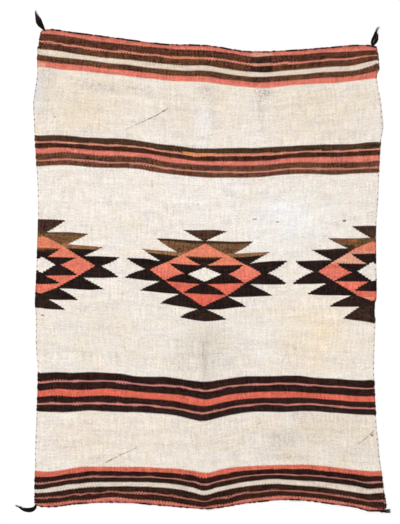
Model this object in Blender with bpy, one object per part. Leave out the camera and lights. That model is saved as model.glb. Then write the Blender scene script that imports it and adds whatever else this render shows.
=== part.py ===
"""Navajo blanket: a tapestry-woven wool blanket lying flat, with its selvage cords and corner tassels.

Metres, +Z up. The blanket lies on Z = 0 with its length along Y, and the box around all of its
pieces is centred on the origin. Tables of places and sizes are in millimetres.
"""

import bisect
import math
from typing import NamedTuple

import bmesh
import bpy
from mathutils import Vector

MM = 0.001

WEB_THICKNESS = 2.4


class Cells(NamedTuple):
    """A stretch of the cloth's mesh: where it ends, as a share of the whole, and its cells."""

    end: float
    count: int


# Small cells at the corners and over the crease along the middle
CELLS_ACROSS = (Cells(0.03, 2), Cells(0.45, 12), Cells(0.56, 6), Cells(0.97, 12), Cells(1.0, 2))
CELLS_ALONG = (Cells(0.022, 2), Cells(0.978, 40), Cells(1.0, 2))

# Gap between pieces that touch
GAP = 0.3

# Cords along the woven ends and along the sides
END_CORD = 4.0
SIDE_CORD = 3.0
CORD_SIDES = 6

# Edges that turn by more than this stay sharp
SHARP_ANGLE = math.radians(65)

# Tassel locks
LOCK_HEIGHT = 2.2
LOCK_GAP = 0.3
LOCK_STEPS = 7
KNOT_HEIGHT = 8.0

# The outer edge of the cord along each woven end: places across, and heights there
TOP_END = (
    (-604, 869),
    (-586, 874),
    (-557, 873),
    (-495, 864),
    (-454, 859),
    (-304, 840),
    (-142, 819),
    (19, 814),
    (180, 791),
    (341, 796),
    (502, 809),
    (548, 813),
    (619, 815),
    (652, 808),
)
BOTTOM_END = (
    (-626, -911),
    (-614, -916),
    (-566, -918),
    (-465, -906),
    (-304, -901),
    (-142, -914),
    (19, -924),
    (180, -902),
    (341, -891),
    (502, -910),
    (572, -920),
    (625, -933),
    (681, -932),
)


class Side(NamedTuple):
    """The outer edges of both side cords at one height."""

    y: float
    left: float
    right: float


SIDES = (
    Side(-932, -620, 681),
    Side(-915, -623, 686),
    Side(-905, -628, 686),
    Side(-896, -634, 685),
    Side(-870, -630, 680),
    Side(-785, -630, 669),
    Side(-666, -628, 654),
    Side(-558, -623, 647),
    Side(-415, -619, 641),
    Side(-291, -626, 643),
    Side(-160, -630, 650),
    Side(-10, -624, 649),
    Side(140, -619, 649),
    Side(234, -615, 656),
    Side(365, -624, 661),
    Side(450, -629, 666),
    Side(496, -632, 673),
    Side(552, -635, 671),
    Side(620, -630, 667),
    Side(721, -621, 659),
    Side(770, -621, 659),
    Side(796, -621, 654),
    Side(819, -616, 652),
    Side(856, -611, 651),
    Side(871, -604, 651),
)


class Fold(NamedTuple):
    """A soft ridge in the cloth, straight from one point to another and faded out past its ends."""

    name: str
    start: tuple
    end: tuple
    start_height: float
    end_height: float
    half_width: float


FOLDS = (
    Fold("middle crease, lower part", (19, -925), (11, -273), 6.0, 2.5, 46),
    Fold("middle crease, upper part", (11, -273), (7, 665), 2.5, 1.5, 44),
    Fold("top ridge", (203, 800), (176, 430), 5.5, 1.0, 60),
    Fold("top left cockle", (-630, 640), (-480, 570), 6.0, 0.5, 62),
    Fold("top right cockle", (668, 520), (500, 500), 5.5, 0.5, 66),
    Fold("left waist cockle", (-620, 225), (-500, 205), 4.5, 0.5, 60),
    Fold("left lower cockle", (-626, -330), (-470, -350), 5.0, 0.5, 64),
    Fold("right lower cockle", (655, -670), (480, -640), 6.0, 0.5, 66),
    Fold("bottom left ripple", (-304, -905), (-300, -760), 4.0, 0.5, 64),
    Fold("bottom right ripple", (341, -895), (330, -720), 5.0, 0.5, 64),
)
FLAT_BELOW = 0.05


class Tassel(NamedTuple):
    """A knot and its locks of yarn, which lie on the surface side by side and in two layers."""

    name: str
    route: tuple
    knot_length: float
    knot_width: float
    widths: tuple
    widest_at: float
    lower_tips: tuple
    upper_tips: tuple


# widths: of the bundle at its root, where it is widest and at its tip.
# Tips: how far along the route each lock reaches, from left to right, 0 where there is no lock.
TASSELS = (
    Tassel(
        "tassel_top_left",
        ((-592.7, 868.6), (-603, 883), (-611.6, 895), (-617, 909), (-622, 924), (-628, 943)),
        7.0,
        7.0,
        (6.5, 20.0, 9.0),
        0.45,
        (0.86, 0.97, 1.0, 0.96, 0.86, 0.84, 0.7),
        (0.0, 0.6, 0.82, 0.78, 0.66, 0.5, 0.0),
    ),
    Tassel(
        "tassel_top_right",
        ((632.8, 808.9), (640, 826), (645.8, 838.5), (649, 851), (651, 864), (654, 875), (661, 882)),
        7.0,
        7.0,
        (6.5, 20.0, 8.0),
        0.38,
        (0.72, 0.88, 1.0, 0.94, 0.7, 0.66, 0.5),
        (0.0, 0.5, 0.7, 0.72, 0.5, 0.42, 0.0),
    ),
    Tassel(
        "tassel_bottom_left",
        ((-624.7, -907.1), (-633, -922), (-645, -928), (-658, -928), (-673, -926), (-688, -917), (-704, -911)),
        7.0,
        7.0,
        (6.5, 16.0, 7.0),
        0.36,
        (0.78, 0.92, 1.0, 0.9, 0.8, 0.62),
        (0.0, 0.6, 0.72, 0.64, 0.46, 0.0),
    ),
    Tassel(
        "tassel_bottom_right",
        ((663.5, -932.9), (674, -933.1), (685, -933.1), (700, -933)),
        19.0,
        10.0,
        (7.0, 15.0, 15.0),
        1.0,
        (1.0, 0.94, 0.66, 0.64, 0.88, 0.92),
        (0.0, 0.78, 0.0, 0.0, 0.74, 0.0),
    ),
)
# Shape of a knot: share of its length, and of its width
KNOT_PROFILE = ((0.0, 0.4), (0.12, 0.78), (0.35, 1.0), (0.65, 0.96), (0.88, 0.8), (1.0, 0.7))
KNOT_TO_LOCKS = 1.6
ROOT_INSET = 0.15
TIP_SHARE = 0.4

# Colours, as the photo shows them: cream wool, and near-black cords and tassels
CREAM = (0.82, 0.73, 0.60)
NEAR_BLACK = (0.022, 0.014, 0.012)
BLACK = (0.012, 0.009, 0.009)
WOOL_ROUGHNESS = 0.9


def smooth_value(points, at):
    """The height at one place of the smooth curve through points, which run from left to right."""
    places = [point[0] for point in points]
    last = len(points) - 1
    at = min(max(at, places[0]), places[last])
    k = min(max(bisect.bisect_right(places, at) - 1, 0), last - 1)

    def slope(i):
        before, after = points[max(i - 1, 0)], points[min(i + 1, last)]
        return (after[1] - before[1]) / (after[0] - before[0])

    span = places[k + 1] - places[k]
    t = (at - places[k]) / span
    return (
        points[k][1] * (2 * t**3 - 3 * t**2 + 1)
        + points[k + 1][1] * (3 * t**2 - 2 * t**3)
        + slope(k) * span * (t**3 - 2 * t**2 + t)
        + slope(k + 1) * span * (t**3 - t**2)
    )


def smooth_step(t):
    """0 to 1 with level ends."""
    t = min(max(t, 0.0), 1.0)
    return t * t * (3 - 2 * t)


def side_edge(y, which):
    """The outer edge of a side cord at a height."""
    return smooth_value([(side.y, getattr(side, which)) for side in SIDES], y)


def end_edge(points, u):
    """The outer edge of an end cord, at a share of the way from its left to its right end."""
    first, last = points[0][0], points[-1][0]
    return smooth_value(points, first + u * (last - first))


def web_point(u, v):
    """A point of the cloth, from its left to its right side and from its bottom to its top end."""
    low = end_edge(BOTTOM_END, u) + END_CORD + GAP
    high = end_edge(TOP_END, u) - END_CORD - GAP
    y = low + v * (high - low)
    side_inset = SIDE_CORD + GAP
    left = side_edge(y, "left") + side_inset
    right = side_edge(y, "right") - side_inset
    return Vector((left + u * (right - left), y))


def ridge(fold, x, y):
    """How high one fold lifts the cloth at a point."""
    start, end = Vector(fold.start), Vector(fold.end)
    run = end - start
    place = Vector((x, y)) - start
    along = place.dot(run) / run.length
    aside = abs(place.x * run.y - place.y * run.x) / run.length
    t = min(max(along / run.length, 0.0), 1.0)
    past_end = max(-along, along - run.length, 0.0)
    fade = smooth_step(1 - past_end / fold.half_width) * smooth_step(1 - aside / fold.half_width)
    return fade * (fold.start_height + t * (fold.end_height - fold.start_height))


def lift(x, y):
    """How high the underside of the cloth lies above the surface."""
    height = sum(ridge(fold, x, y) for fold in FOLDS)
    return max(height - FLAT_BELOW, 0.0)


def cell_borders(stretches):
    """Shares at which the cells of all stretches begin and end."""
    borders = [0.0]
    for stretch in stretches:
        start = borders[-1]
        step = (stretch.end - start) / stretch.count
        borders += [start + step * (k + 1) for k in range(stretch.count)]
    return borders


def new_object(name, bm, colour):
    """An object with its own material, from a mesh built in millimetres."""
    bmesh.ops.scale(bm, vec=(MM, MM, MM), verts=bm.verts)
    bmesh.ops.recalc_face_normals(bm, faces=bm.faces)
    mesh = bpy.data.meshes.new(name)
    bm.to_mesh(mesh)
    bm.free()
    mesh.shade_smooth()
    mesh.set_sharp_from_angle(angle=SHARP_ANGLE)
    material = bpy.data.materials.new(name + "_wool")
    material.use_nodes = True
    shader = material.node_tree.nodes["Principled BSDF"]
    shader.inputs["Base Color"].default_value = (*colour, 1)
    shader.inputs["Roughness"].default_value = WOOL_ROUGHNESS
    shader.inputs["Metallic"].default_value = 0
    material.diffuse_color = (*colour, 1)
    mesh.materials.append(material)
    made = bpy.data.objects.new(name, mesh)
    bpy.context.collection.objects.link(made)
    return made


def web():
    """The woven cloth as one sheet, its underside flat on the surface but for the soft folds."""
    bm = bmesh.new()
    across, along = cell_borders(CELLS_ACROSS), cell_borders(CELLS_ALONG)
    columns, rows = len(across) - 1, len(along) - 1
    under, face = [], []
    for v in along:
        row_under, row_face = [], []
        for u in across:
            x, y = web_point(u, v)
            z = lift(x, y)
            row_under.append(bm.verts.new((x, y, z)))
            row_face.append(bm.verts.new((x, y, z + WEB_THICKNESS)))
        under.append(row_under)
        face.append(row_face)
    for j in range(rows):
        for i in range(columns):
            bm.faces.new((face[j][i], face[j][i + 1], face[j + 1][i + 1], face[j + 1][i]))
            bm.faces.new((under[j][i], under[j + 1][i], under[j + 1][i + 1], under[j][i + 1]))
    rim = (
        [(0, i) for i in range(columns)]
        + [(j, columns) for j in range(rows)]
        + [(rows, i) for i in range(columns, 0, -1)]
        + [(j, 0) for j in range(rows, 0, -1)]
    )
    for (j, i), (m, k) in zip(rim, rim[1:] + rim[:1]):
        bm.faces.new((under[j][i], under[m][k], face[m][k], face[j][i]))
    return new_object("web", bm, CREAM)


def beside(edge, distance):
    """The line that runs beside an edge of the cloth, at a distance to the right of its direction."""
    line = []
    for k, point in enumerate(edge):
        ahead = edge[min(k + 1, len(edge) - 1)] - edge[max(k - 1, 0)]
        outward = Vector((ahead.y, -ahead.x)).normalized()
        line.append(point + outward * distance)
    return line


def clear_of_knots(line, diameter):
    """The middle part of a line, up to where a cord on it would run into a knot."""
    knots = []
    for tassel in TASSELS:
        half = tassel.knot_width / 2
        for along in (half, tassel.knot_length - half):
            knots.append((point_on(tassel.route, along), half + diameter / 2 + GAP))
    half_way = len(line) // 2
    backward = until_knot(line[half_way::-1], knots)
    return backward[:0:-1] + until_knot(line[half_way:], knots)


def until_knot(line, knots, steps=40):
    """The line from its first point up to the first knot."""
    kept = [line[0]]
    for a, b in zip(line, line[1:]):
        clear = a
        for k in range(1, steps + 1):
            point = a.lerp(b, k / steps)
            if any((point - centre).length < reach for centre, reach in knots):
                return kept + [clear] if clear != a else kept
            clear = point
        kept.append(b)
    return kept


def rounded(sides):
    """Points of a regular polygon with one side down, as shares of its radius."""
    turn = math.pi / sides
    angles = [2 * math.pi * k / sides - math.pi / 2 + turn for k in range(sides)]
    return [(math.cos(angle), math.sin(angle)) for angle in angles]


def tube(bm, line, diameter):
    """A closed tube along a line on the cloth's edge, resting as high as the cloth there."""
    profile = rounded(CORD_SIDES)
    bottom = -min(z for _, z in profile)
    rings = []
    for k, point in enumerate(line):
        ahead = line[min(k + 1, len(line) - 1)] - line[max(k - 1, 0)]
        outward = Vector((ahead.y, -ahead.x)).normalized()
        radius = diameter / 2
        z = lift(*point) + bottom * radius
        ring = []
        for a, b in profile:
            at = point + outward * (a * radius)
            ring.append(bm.verts.new((at.x, at.y, z + b * radius)))
        rings.append(ring)
    bridge(bm, rings)
    bm.faces.new(rings[0])
    bm.faces.new(rings[-1][::-1])


def bridge(bm, rings):
    """Faces between rings that follow each other."""
    for one, two in zip(rings, rings[1:]):
        for k in range(len(one)):
            n = (k + 1) % len(one)
            bm.faces.new((one[k], one[n], two[n], two[k]))


def selvage_cord(name, edge, diameter):
    """One twined cord, drawn plain, beside an edge of the cloth."""
    bm = bmesh.new()
    tube(bm, clear_of_knots(beside(edge, GAP + diameter / 2), diameter), diameter)
    return new_object(name, bm, NEAR_BLACK)


def selvage_cords():
    """The four cords, each along an edge that runs with the cloth on its left."""
    across, along = cell_borders(CELLS_ACROSS), cell_borders(CELLS_ALONG)
    return [
        selvage_cord("end_cord_bottom", [web_point(u, 0) for u in across], END_CORD),
        selvage_cord("end_cord_top", [web_point(u, 1) for u in reversed(across)], END_CORD),
        selvage_cord("side_cord_right", [web_point(1, v) for v in along], SIDE_CORD),
        selvage_cord("side_cord_left", [web_point(0, v) for v in reversed(along)], SIDE_CORD),
    ]


def route_length(route):
    """Length of a tassel, from the near end of its knot to the tip of its longest lock."""
    return sum(math.dist(a, b) for a, b in zip(route, route[1:]))


def point_on(route, distance):
    """The point of a smooth curve through a route's points, at a distance along it."""
    reached = [0.0]
    for a, b in zip(route, route[1:]):
        reached.append(reached[-1] + math.dist(a, b))
    x = smooth_value([(s, point[0]) for s, point in zip(reached, route)], distance)
    y = smooth_value([(s, point[1]) for s, point in zip(reached, route)], distance)
    return Vector((x, y))


def section(bm, tassel, distance, corners):
    """New points around a tassel's route, from how far each lies aside of it and how high."""
    near = 0.5
    ahead = point_on(tassel.route, distance + near) - point_on(tassel.route, distance - near)
    aside = Vector((ahead.y, -ahead.x)).normalized()
    centre = point_on(tassel.route, distance)
    return [bm.verts.new((*(centre + aside * across), height)) for across, height in corners]


def lock_pitch(tassel, distance):
    """How far apart the middles of neighbouring locks lie."""
    root, widest, tip = tassel.widths
    share = distance / route_length(tassel.route)
    if share < tassel.widest_at:
        width = root + (widest - root) * smooth_step(share / tassel.widest_at)
    else:
        past = (share - tassel.widest_at) / max(1 - tassel.widest_at, GAP)
        width = widest + (tip - widest) * smooth_step(past)
    return width / len(tassel.lower_tips)


def lock_corners(tassel, distance, column, row, thinness):
    """The four corners of one lock, aside of the route and above the surface."""
    pitch = lock_pitch(tassel, distance)
    middle = (column - (len(tassel.lower_tips) - 1) / 2) * pitch
    half = (pitch - LOCK_GAP) / 2 * thinness
    low = row * (LOCK_HEIGHT + LOCK_GAP)
    high = low + LOCK_HEIGHT * thinness
    return [(middle - half, low), (middle + half, low), (middle + half, high), (middle - half, high)]


def root_corner(tassel, column, row):
    """A corner of the grid of roots, which is the knot's outer end."""
    across = (column - len(tassel.lower_tips) / 2) * lock_pitch(tassel, roots_at(tassel))
    return across, GAP + row * (LOCK_HEIGHT + LOCK_GAP)


def roots_at(tassel):
    """How far along the route the locks leave the knot."""
    return tassel.knot_length + KNOT_TO_LOCKS


def knot_rings(bm, tassel, edge_corners):
    """Rings of the knot, each with a point for every point around the grid of roots."""
    rings = []
    middle = KNOT_HEIGHT / 2
    half_width = tassel.widths[0] / 2
    for along, size in KNOT_PROFILE:
        corners = []
        for across, height in edge_corners:
            turn = math.atan2((height - middle) / middle, across / half_width)
            aside = math.cos(turn) * size * tassel.knot_width / 2
            corners.append((aside, middle * (1 + math.sin(turn) * size)))
        rings.append(section(bm, tassel, along * tassel.knot_length, corners))
    return rings


def lock(bm, tassel, cell, column, row, tip):
    """One lock of yarn, drawn out of its cell in the grid of roots."""
    start, stop = roots_at(tassel), tip * route_length(tassel.route)
    left, low = root_corner(tassel, column, row)
    right, high = root_corner(tassel, column + 1, row + 1)
    left, low, right, high = left + ROOT_INSET, low + ROOT_INSET, right - ROOT_INSET, high - ROOT_INSET
    rings = [cell, section(bm, tassel, start, [(left, low), (right, low), (right, high), (left, high)])]
    for k in range(1, LOCK_STEPS + 1):
        share = k / LOCK_STEPS
        distance = start + (stop - start) * share
        thinness = 1 - (1 - TIP_SHARE) * share**4
        rings.append(section(bm, tassel, distance, lock_corners(tassel, distance, column, row, thinness)))
    bridge(bm, rings)
    bm.faces.new(rings[-1])


def tassel_object(tassel):
    """A knot whose outer end carries the roots of all locks."""
    bm = bmesh.new()
    columns = len(tassel.lower_tips)
    rows = (tassel.lower_tips, tassel.upper_tips)
    edge = (
        [(c, 0) for c in range(columns)]
        + [(columns, r) for r in range(len(rows))]
        + [(c, len(rows)) for c in range(columns, 0, -1)]
        + [(0, r) for r in range(len(rows), 0, -1)]
    )
    rings = knot_rings(bm, tassel, [root_corner(tassel, *key) for key in edge])
    keys = [(c, r) for r in range(len(rows) + 1) for c in range(columns + 1)]
    grid = section(bm, tassel, roots_at(tassel), [root_corner(tassel, *key) for key in keys])
    roots = dict(zip(keys, grid))
    bridge(bm, rings + [[roots[key] for key in edge]])
    bm.faces.new(rings[0])

    for row, tips in enumerate(rows):
        for column, tip in enumerate(tips):
            corners = ((column, row), (column + 1, row), (column + 1, row + 1), (column, row + 1))
            cell = [roots[key] for key in corners]
            if tip:
                lock(bm, tassel, cell, column, row, tip)
            else:
                bm.faces.new(cell)
    return new_object(tassel.name, bm, BLACK)


def centre_on_origin(objects):
    """Moves all pieces so that the box around them is centred over the origin."""
    corners = [piece.matrix_world @ vertex.co for piece in objects for vertex in piece.data.vertices]
    for axis in (0, 1):
        values = [corner[axis] for corner in corners]
        middle = (min(values) + max(values)) / 2
        for piece in objects:
            piece.location[axis] -= middle


def main():
    for old in list(bpy.data.objects):
        bpy.data.objects.remove(old, do_unlink=True)
    pieces = [web(), *selvage_cords(), *(tassel_object(tassel) for tassel in TASSELS)]
    centre_on_origin(pieces)
    blanket = bpy.data.objects.new("navajo_blanket", None)
    bpy.context.collection.objects.link(blanket)
    for piece in pieces:
        piece.parent = blanket


main()
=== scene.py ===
"""Navajo blanket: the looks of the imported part, on a plain pale floor, seen from straight above.

Tables of places and sizes are in millimetres, in a frame of their own: +X across to the right, +Y towards
the top end. SHIFT takes them to the part's frame.

The pattern is charted on the loom and not on the floor. A place across is counted in warps, and a height
says which weft it is: the height at which that weft crosses the middle warp. The uneven beating then bends
stripes and diamonds alike, as it does on the real cloth.
"""

import math
import random
from typing import NamedTuple

import bpy
import numpy as np
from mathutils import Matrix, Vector, noise


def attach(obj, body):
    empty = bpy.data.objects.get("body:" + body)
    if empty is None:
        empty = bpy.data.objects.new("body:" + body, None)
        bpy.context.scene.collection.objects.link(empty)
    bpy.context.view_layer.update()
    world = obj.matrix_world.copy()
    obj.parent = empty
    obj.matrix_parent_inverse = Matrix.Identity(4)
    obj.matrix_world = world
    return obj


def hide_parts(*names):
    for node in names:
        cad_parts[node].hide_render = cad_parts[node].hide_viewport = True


MM = 0.001
BODY = "root"

# Cloth and cords, in the sizes of the part's source
WEB_THICKNESS = 2.4
GAP = 0.3
END_CORD = 4.0
SIDE_CORD = 3.0
FLAT_BELOW = 0.05

# Loom: the outer warps, how many there are, the pitch of the wefts beaten down over them, how deep the
# ribs are between warps, and the most that two rows of the mesh lie apart
LEFT_WARP, RIGHT_WARP = -622.0, 646.0
MIDDLE_WARP = (LEFT_WARP + RIGHT_WARP) / 2
WIDTH = RIGHT_WARP - LEFT_WARP
WARPS = 230
WARP_PITCH = WIDTH / WARPS
PICK = 1.2
RIB_DEPTH = 0.5
ROW = 17.6

# Changes of colour, in stripes and in motifs: how far they lie up on even warps and down on odd ones,
# and how far they wander. The inner stripes of a band sway besides.
TOOTH, MOTIF_TOOTH = 1.35, 1.0
WANDER, MOTIF_WANDER = 10.0, 3.0
WANDER_SIZE = (110, 34)
SWAY = 14.0
SWAY_SIZE = (55, -14)

# The brightness of a white surface in the light of the scene
LIGHT_LEVEL = 1.12

# The outer edge of the cord along each woven end: places across, and heights there
TOP_END = (
    (-604, 869),
    (-586, 874),
    (-557, 873),
    (-495, 864),
    (-454, 859),
    (-304, 840),
    (-142, 819),
    (19, 814),
    (180, 791),
    (341, 796),
    (502, 809),
    (548, 813),
    (619, 815),
    (652, 808),
)
BOTTOM_END = (
    (-626, -911),
    (-614, -916),
    (-566, -918),
    (-465, -906),
    (-304, -901),
    (-142, -914),
    (19, -924),
    (180, -902),
    (341, -891),
    (502, -910),
    (572, -920),
    (625, -933),
    (681, -932),
)


class Side(NamedTuple):
    """The outer edges of both side cords at one height."""

    y: float
    left: float
    right: float


SIDES = (
    Side(-932, -620, 681),
    Side(-915, -626, 686),
    Side(-900, -631, 686),
    Side(-870, -631, 680),
    Side(-785, -630, 669),
    Side(-666, -628, 654),
    Side(-558, -623, 647),
    Side(-415, -619, 641),
    Side(-291, -626, 643),
    Side(-215, -626, 646),
    Side(-195, -627, 643),
    Side(-150, -630, 645),
    Side(-135, -629, 650),
    Side(-10, -624, 649),
    Side(140, -619, 649),
    Side(234, -618, 656),
    Side(365, -624, 661),
    Side(450, -629, 666),
    Side(496, -632, 673),
    Side(552, -635, 671),
    Side(595, -637, 668),
    Side(620, -632, 664),
    Side(642, -629, 659),
    Side(665, -626, 655),
    Side(688, -623, 652),
    Side(708, -621, 653),
    Side(721, -621, 659),
    Side(770, -621, 659),
    Side(796, -621, 654),
    Side(819, -616, 652),
    Side(856, -611, 651),
    Side(871, -604, 651),
)


class Fold(NamedTuple):
    """A soft ridge in the cloth, straight from one point to another and faded out past its ends."""

    name: str
    start: tuple
    end: tuple
    start_height: float
    end_height: float
    half_width: float


# The ridges of the part's source
FOLDS = (
    Fold("middle crease, lower part", (19, -925), (11, -273), 6.0, 2.5, 46),
    Fold("middle crease, upper part", (11, -273), (7, 665), 2.5, 1.5, 44),
    Fold("top ridge", (203, 800), (176, 430), 5.5, 1.0, 60),
    Fold("top left cockle", (-630, 640), (-480, 570), 6.0, 0.5, 62),
    Fold("top right cockle", (668, 520), (500, 500), 5.5, 0.5, 66),
    Fold("left waist cockle", (-620, 225), (-500, 205), 4.5, 0.5, 60),
    Fold("left lower cockle", (-626, -330), (-470, -350), 5.0, 0.5, 64),
    Fold("right lower cockle", (655, -670), (480, -640), 6.0, 0.5, 66),
    Fold("bottom left ripple", (-304, -905), (-300, -760), 4.0, 0.5, 64),
    Fold("bottom right ripple", (341, -895), (330, -720), 5.0, 0.5, 64),
)
# Slighter ones, which only the looks show
SLIGHT_FOLDS = (
    Fold("left of the middle, low", (-150, -880), (-165, -420), 1.6, 0.8, 52),
    Fold("right of the middle, low", (175, -870), (190, -480), 1.8, 0.9, 50),
    Fold("far left, low", (-470, -860), (-455, -560), 1.5, 0.6, 46),
    Fold("far right, low", (505, -880), (485, -640), 1.6, 0.6, 48),
    Fold("left of the middle, high", (-175, 800), (-160, 420), 1.8, 0.7, 54),
    Fold("far left, high", (-430, 820), (-415, 480), 1.6, 0.6, 50),
    Fold("far right, high", (420, 770), (410, 470), 1.7, 0.6, 52),
    Fold("across the left half", (-600, 395), (-250, 370), 1.2, 0.5, 44),
    Fold("across the right half", (620, 300), (330, 290), 1.3, 0.5, 46),
    Fold("right waist cockle", (650, -60), (540, -70), 2.2, 0.4, 48),
    Fold("left hip cockle", (-628, -120), (-520, -135), 2.0, 0.4, 46),
)


class Ripple(NamedTuple):
    """Low waves all over the cloth: how high, how long across and along, and which pattern of noise."""

    rise: float
    across: float
    along: float
    seed: float


RIPPLES = (Ripple(0.45, 120, 260, 0), Ripple(0.3, 46, 420, 7.3), Ripple(0.16, 17, 300, 14.6))


class Weft(NamedTuple):
    """The way of one weft through the cloth: places across, and its height at each."""

    name: str
    across: tuple
    heights: tuple


# From the bottom to the top, without the first and the last weft
WEFTS = (
    Weft(
        "top of bottom red",
        (-615, -552, -490, -427, -333, -270, -144, -82, -45, -12, 12, 75, 138, 264, 326, 452, 577, 640),
        (-904, -901, -893, -891, -881, -888, -896, -909, -915, -918, -912, -904, -890, -876, -877,
         -891, -914, -926),
    ),
    Weft(
        "bottom of low cream",
        (-615, -566, -490, -427, -333, -207, -113, -50, -8, 44, 107, 169, 232, 326, 451, 577, 640),
        (-866, -862, -849, -842, -839, -841, -849, -861, -871, -860, -846, -836, -831, -835, -847,
         -867, -865),
    ),
    Weft(
        "top of low cream",
        (-615, -552, -490, -395, -301, -207, -113, -50, -10, 44, 107, 169, 248, 358, 451, 546, 593, 640),
        (-854, -843, -833, -824, -825, -825, -832, -844, -856, -845, -831, -820, -814, -819, -826,
         -839, -849, -847),
    ),
    Weft(
        "top of bottom band",
        (-615, -570, -521, -458, -395, -238, -144, -82, -12, 12, 44, 75, 138, 248, 358, 451, 546, 609, 640),
        (-782, -785, -778, -767, -766, -767, -771, -776, -787, -788, -781, -773, -766, -760, -758,
         -765, -777, -782, -781),
    ),
    Weft(
        "bottom of lower band",
        (-615, -552, -490, -427, -364, -238, -113, -82, -19, 12, 44, 75, 138, 201, 295, 373, 452, 577, 640),
        (-560, -562, -561, -556, -560, -563, -573, -579, -594, -594, -587, -578, -566, -560, -562,
         -558, -561, -571, -573),
    ),
    Weft(
        "bottom of lower red",
        (-615, -552, -490, -427, -364, -301, -207, -113, -50, 0, 44, 75, 138, 201, 295, 389, 483, 577, 640),
        (-504, -500, -504, -501, -499, -504, -512, -520, -531, -539, -533, -525, -514, -509, -507,
         -508, -515, -522, -523),
    ),
    Weft(
        "top of lower red",
        (-615, -552, -490, -427, -380, -301, -207, -113, -50, 12, 44, 107, 185, 310, 389, 483, 577, 640),
        (-482, -475, -479, -478, -475, -479, -489, -495, -504, -514, -509, -496, -488, -485, -489,
         -495, -502, -503),
    ),
    Weft(
        "top of lower band",
        (-615, -552, -490, -395, -333, -301, -254, -207, -144, -82, 0, 44, 107, 169, 248, 358, 420,
         514, 609, 640),
        (-416, -412, -414, -412, -415, -419, -427, -429, -429, -437, -447, -443, -434, -428, -426,
         -425, -432, -437, -443, -441),
    ),
    Weft(
        "teeth 8 end",
        (-606, -568, -520, -84, -50, -32, 6, 25, 44, 84, 531, 567, 590, 613, 645),
        (-170, -175, -178, -207, -213, -216, -220, -220, -219, -216, -212, -217, -219, -222, -228),
    ),
    Weft(
        "teeth 7 end",
        (-579, -544, -481, -139, -112, -56, -29, 0, 34, 68, 96, 124, 151, 483, 557, 600),
        (-137, -140, -141, -155, -160, -168, -172, -174, -176, -176, -173, -169, -167, -166, -166, -164),
    ),
    Weft(
        "teeth 6 end",
        (-539, -489, -454, -419, -384, -234, -195, -109, 6, 90, 121, 178, 254, 392, 439, 555),
        (-97, -99, -102, -104, -102, -106, -110, -117, -120, -127, -130, -129, -126, -120, -123, -124),
    ),
    Weft(
        "teeth 5 end",
        (-447, -381, -331, -279, -255, -232, -208, -161, -10, 152, 267, 400, 463),
        (-56, -58, -57, -59, -62, -65, -68, -70, -82, -80, -83, -81, -78),
    ),
    Weft(
        "teeth 4 end",
        (-554, -378, -218, -59, 6, 69, 236, 411, 579),
        (-9, -14, -25, -44, -46, -45, -42, -35, -35),
    ),
    Weft(
        "teeth 3 end",
        (-447, -383, -250, -226, -203, -179, -120, 0, 148, 215, 262, 300, 364, 414, 464, 600),
        (22, 22, 15, 14, 11, 6, -4, -12, -9, 0, 4, 6, 5, 6, 7, 2),
    ),
    Weft(
        "teeth 2 end",
        (-510, -380, -226, -209, -185, -138, -100, 6, 118, 150, 221, 413, 477, 500, 542),
        (66, 57, 50, 47, 45, 41, 37, 28, 31, 32, 37, 46, 48, 50, 51),
    ),
    Weft(
        "teeth 1 end",
        (-586, -509, -448, -175, -124, -67, -19, 31, 66, 118, 185, 469, 576, 624),
        (111, 112, 108, 90, 88, 83, 80, 79, 78, 77, 79, 90, 89, 91),
    ),
    Weft(
        "teeth 1 start",
        (-625, -516, -306, -147, -64, -12, 41, 58, 87, 331, 491, 580, 650),
        (161, 158, 138, 127, 121, 120, 121, 120, 117, 124, 134, 136, 136),
    ),
    Weft(
        "bottom of upper band",
        (-615, -552, -490, -379, -301, -254, -207, -144, -82, -19, 44, 169, 217, 264, 326, 389,
         498, 577, 640),
        (360, 363, 362, 353, 353, 350, 342, 332, 326, 320, 317, 317, 319, 325, 331, 331, 328, 333, 336),
    ),
    Weft(
        "bottom of upper red",
        (-615, -521, -458, -364, -301, -207, -160, -98, -19, 75, 185, 264, 342, 452, 577, 640),
        (407, 412, 407, 399, 398, 391, 380, 371, 366, 363, 362, 368, 375, 374, 376, 380),
    ),
    Weft(
        "top of upper red",
        (-615, -552, -490, -395, -301, -207, -144, -82, -19, 75, 185, 264, 358, 483, 577, 640),
        (427, 430, 427, 419, 415, 406, 396, 386, 378, 378, 379, 385, 393, 394, 398, 402),
    ),
    Weft(
        "top of upper band",
        (-615, -552, -490, -427, -301, -254, -176, -113, -66, -19, 75, 185, 264, 358, 452, 546, 593, 640),
        (476, 477, 473, 468, 463, 457, 445, 438, 431, 427, 428, 429, 433, 439, 442, 444, 450, 451),
    ),
    Weft(
        "bottom of top band",
        (-615, -552, -427, -301, -207, -113, -19, 12, 107, 217, 326, 483, 577, 640),
        (733, 724, 713, 699, 689, 679, 676, 674, 662, 653, 663, 672, 681, 689),
    ),
    Weft(
        "bottom of high cream",
        (-615, -552, -427, -364, -301, -207, -82, -4, 107, 201, 326, 452, 546, 582, 609, 640),
        (779, 770, 756, 747, 742, 730, 719, 720, 703, 694, 702, 713, 717, 723, 732, 746),
    ),
    Weft(
        "top of high cream",
        (-615, -552, -427, -301, -207, -113, 12, 75, 138, 217, 326, 452, 546, 609, 640),
        (798, 792, 772, 760, 750, 739, 736, 726, 717, 711, 719, 731, 737, 751, 758),
    ),
    Weft(
        "bottom of top red",
        (-615, -552, -490, -427, -301, -207, -113, 12, 107, 185, 248, 358, 452, 546, 640),
        (858, 852, 843, 831, 818, 808, 799, 794, 783, 770, 775, 779, 787, 791, 795),
    ),
)

# Colours as the photo shows them
FIELD = (242, 233, 223)


class Stripe(NamedTuple):
    """One stripe: its width, and its colour."""

    width: float
    colour: tuple


class Band(NamedTuple):
    """Stripes between two wefts, from the bottom up. Their widths are stretched a little to fill it."""

    low: str
    high: str
    stripes: tuple


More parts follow.
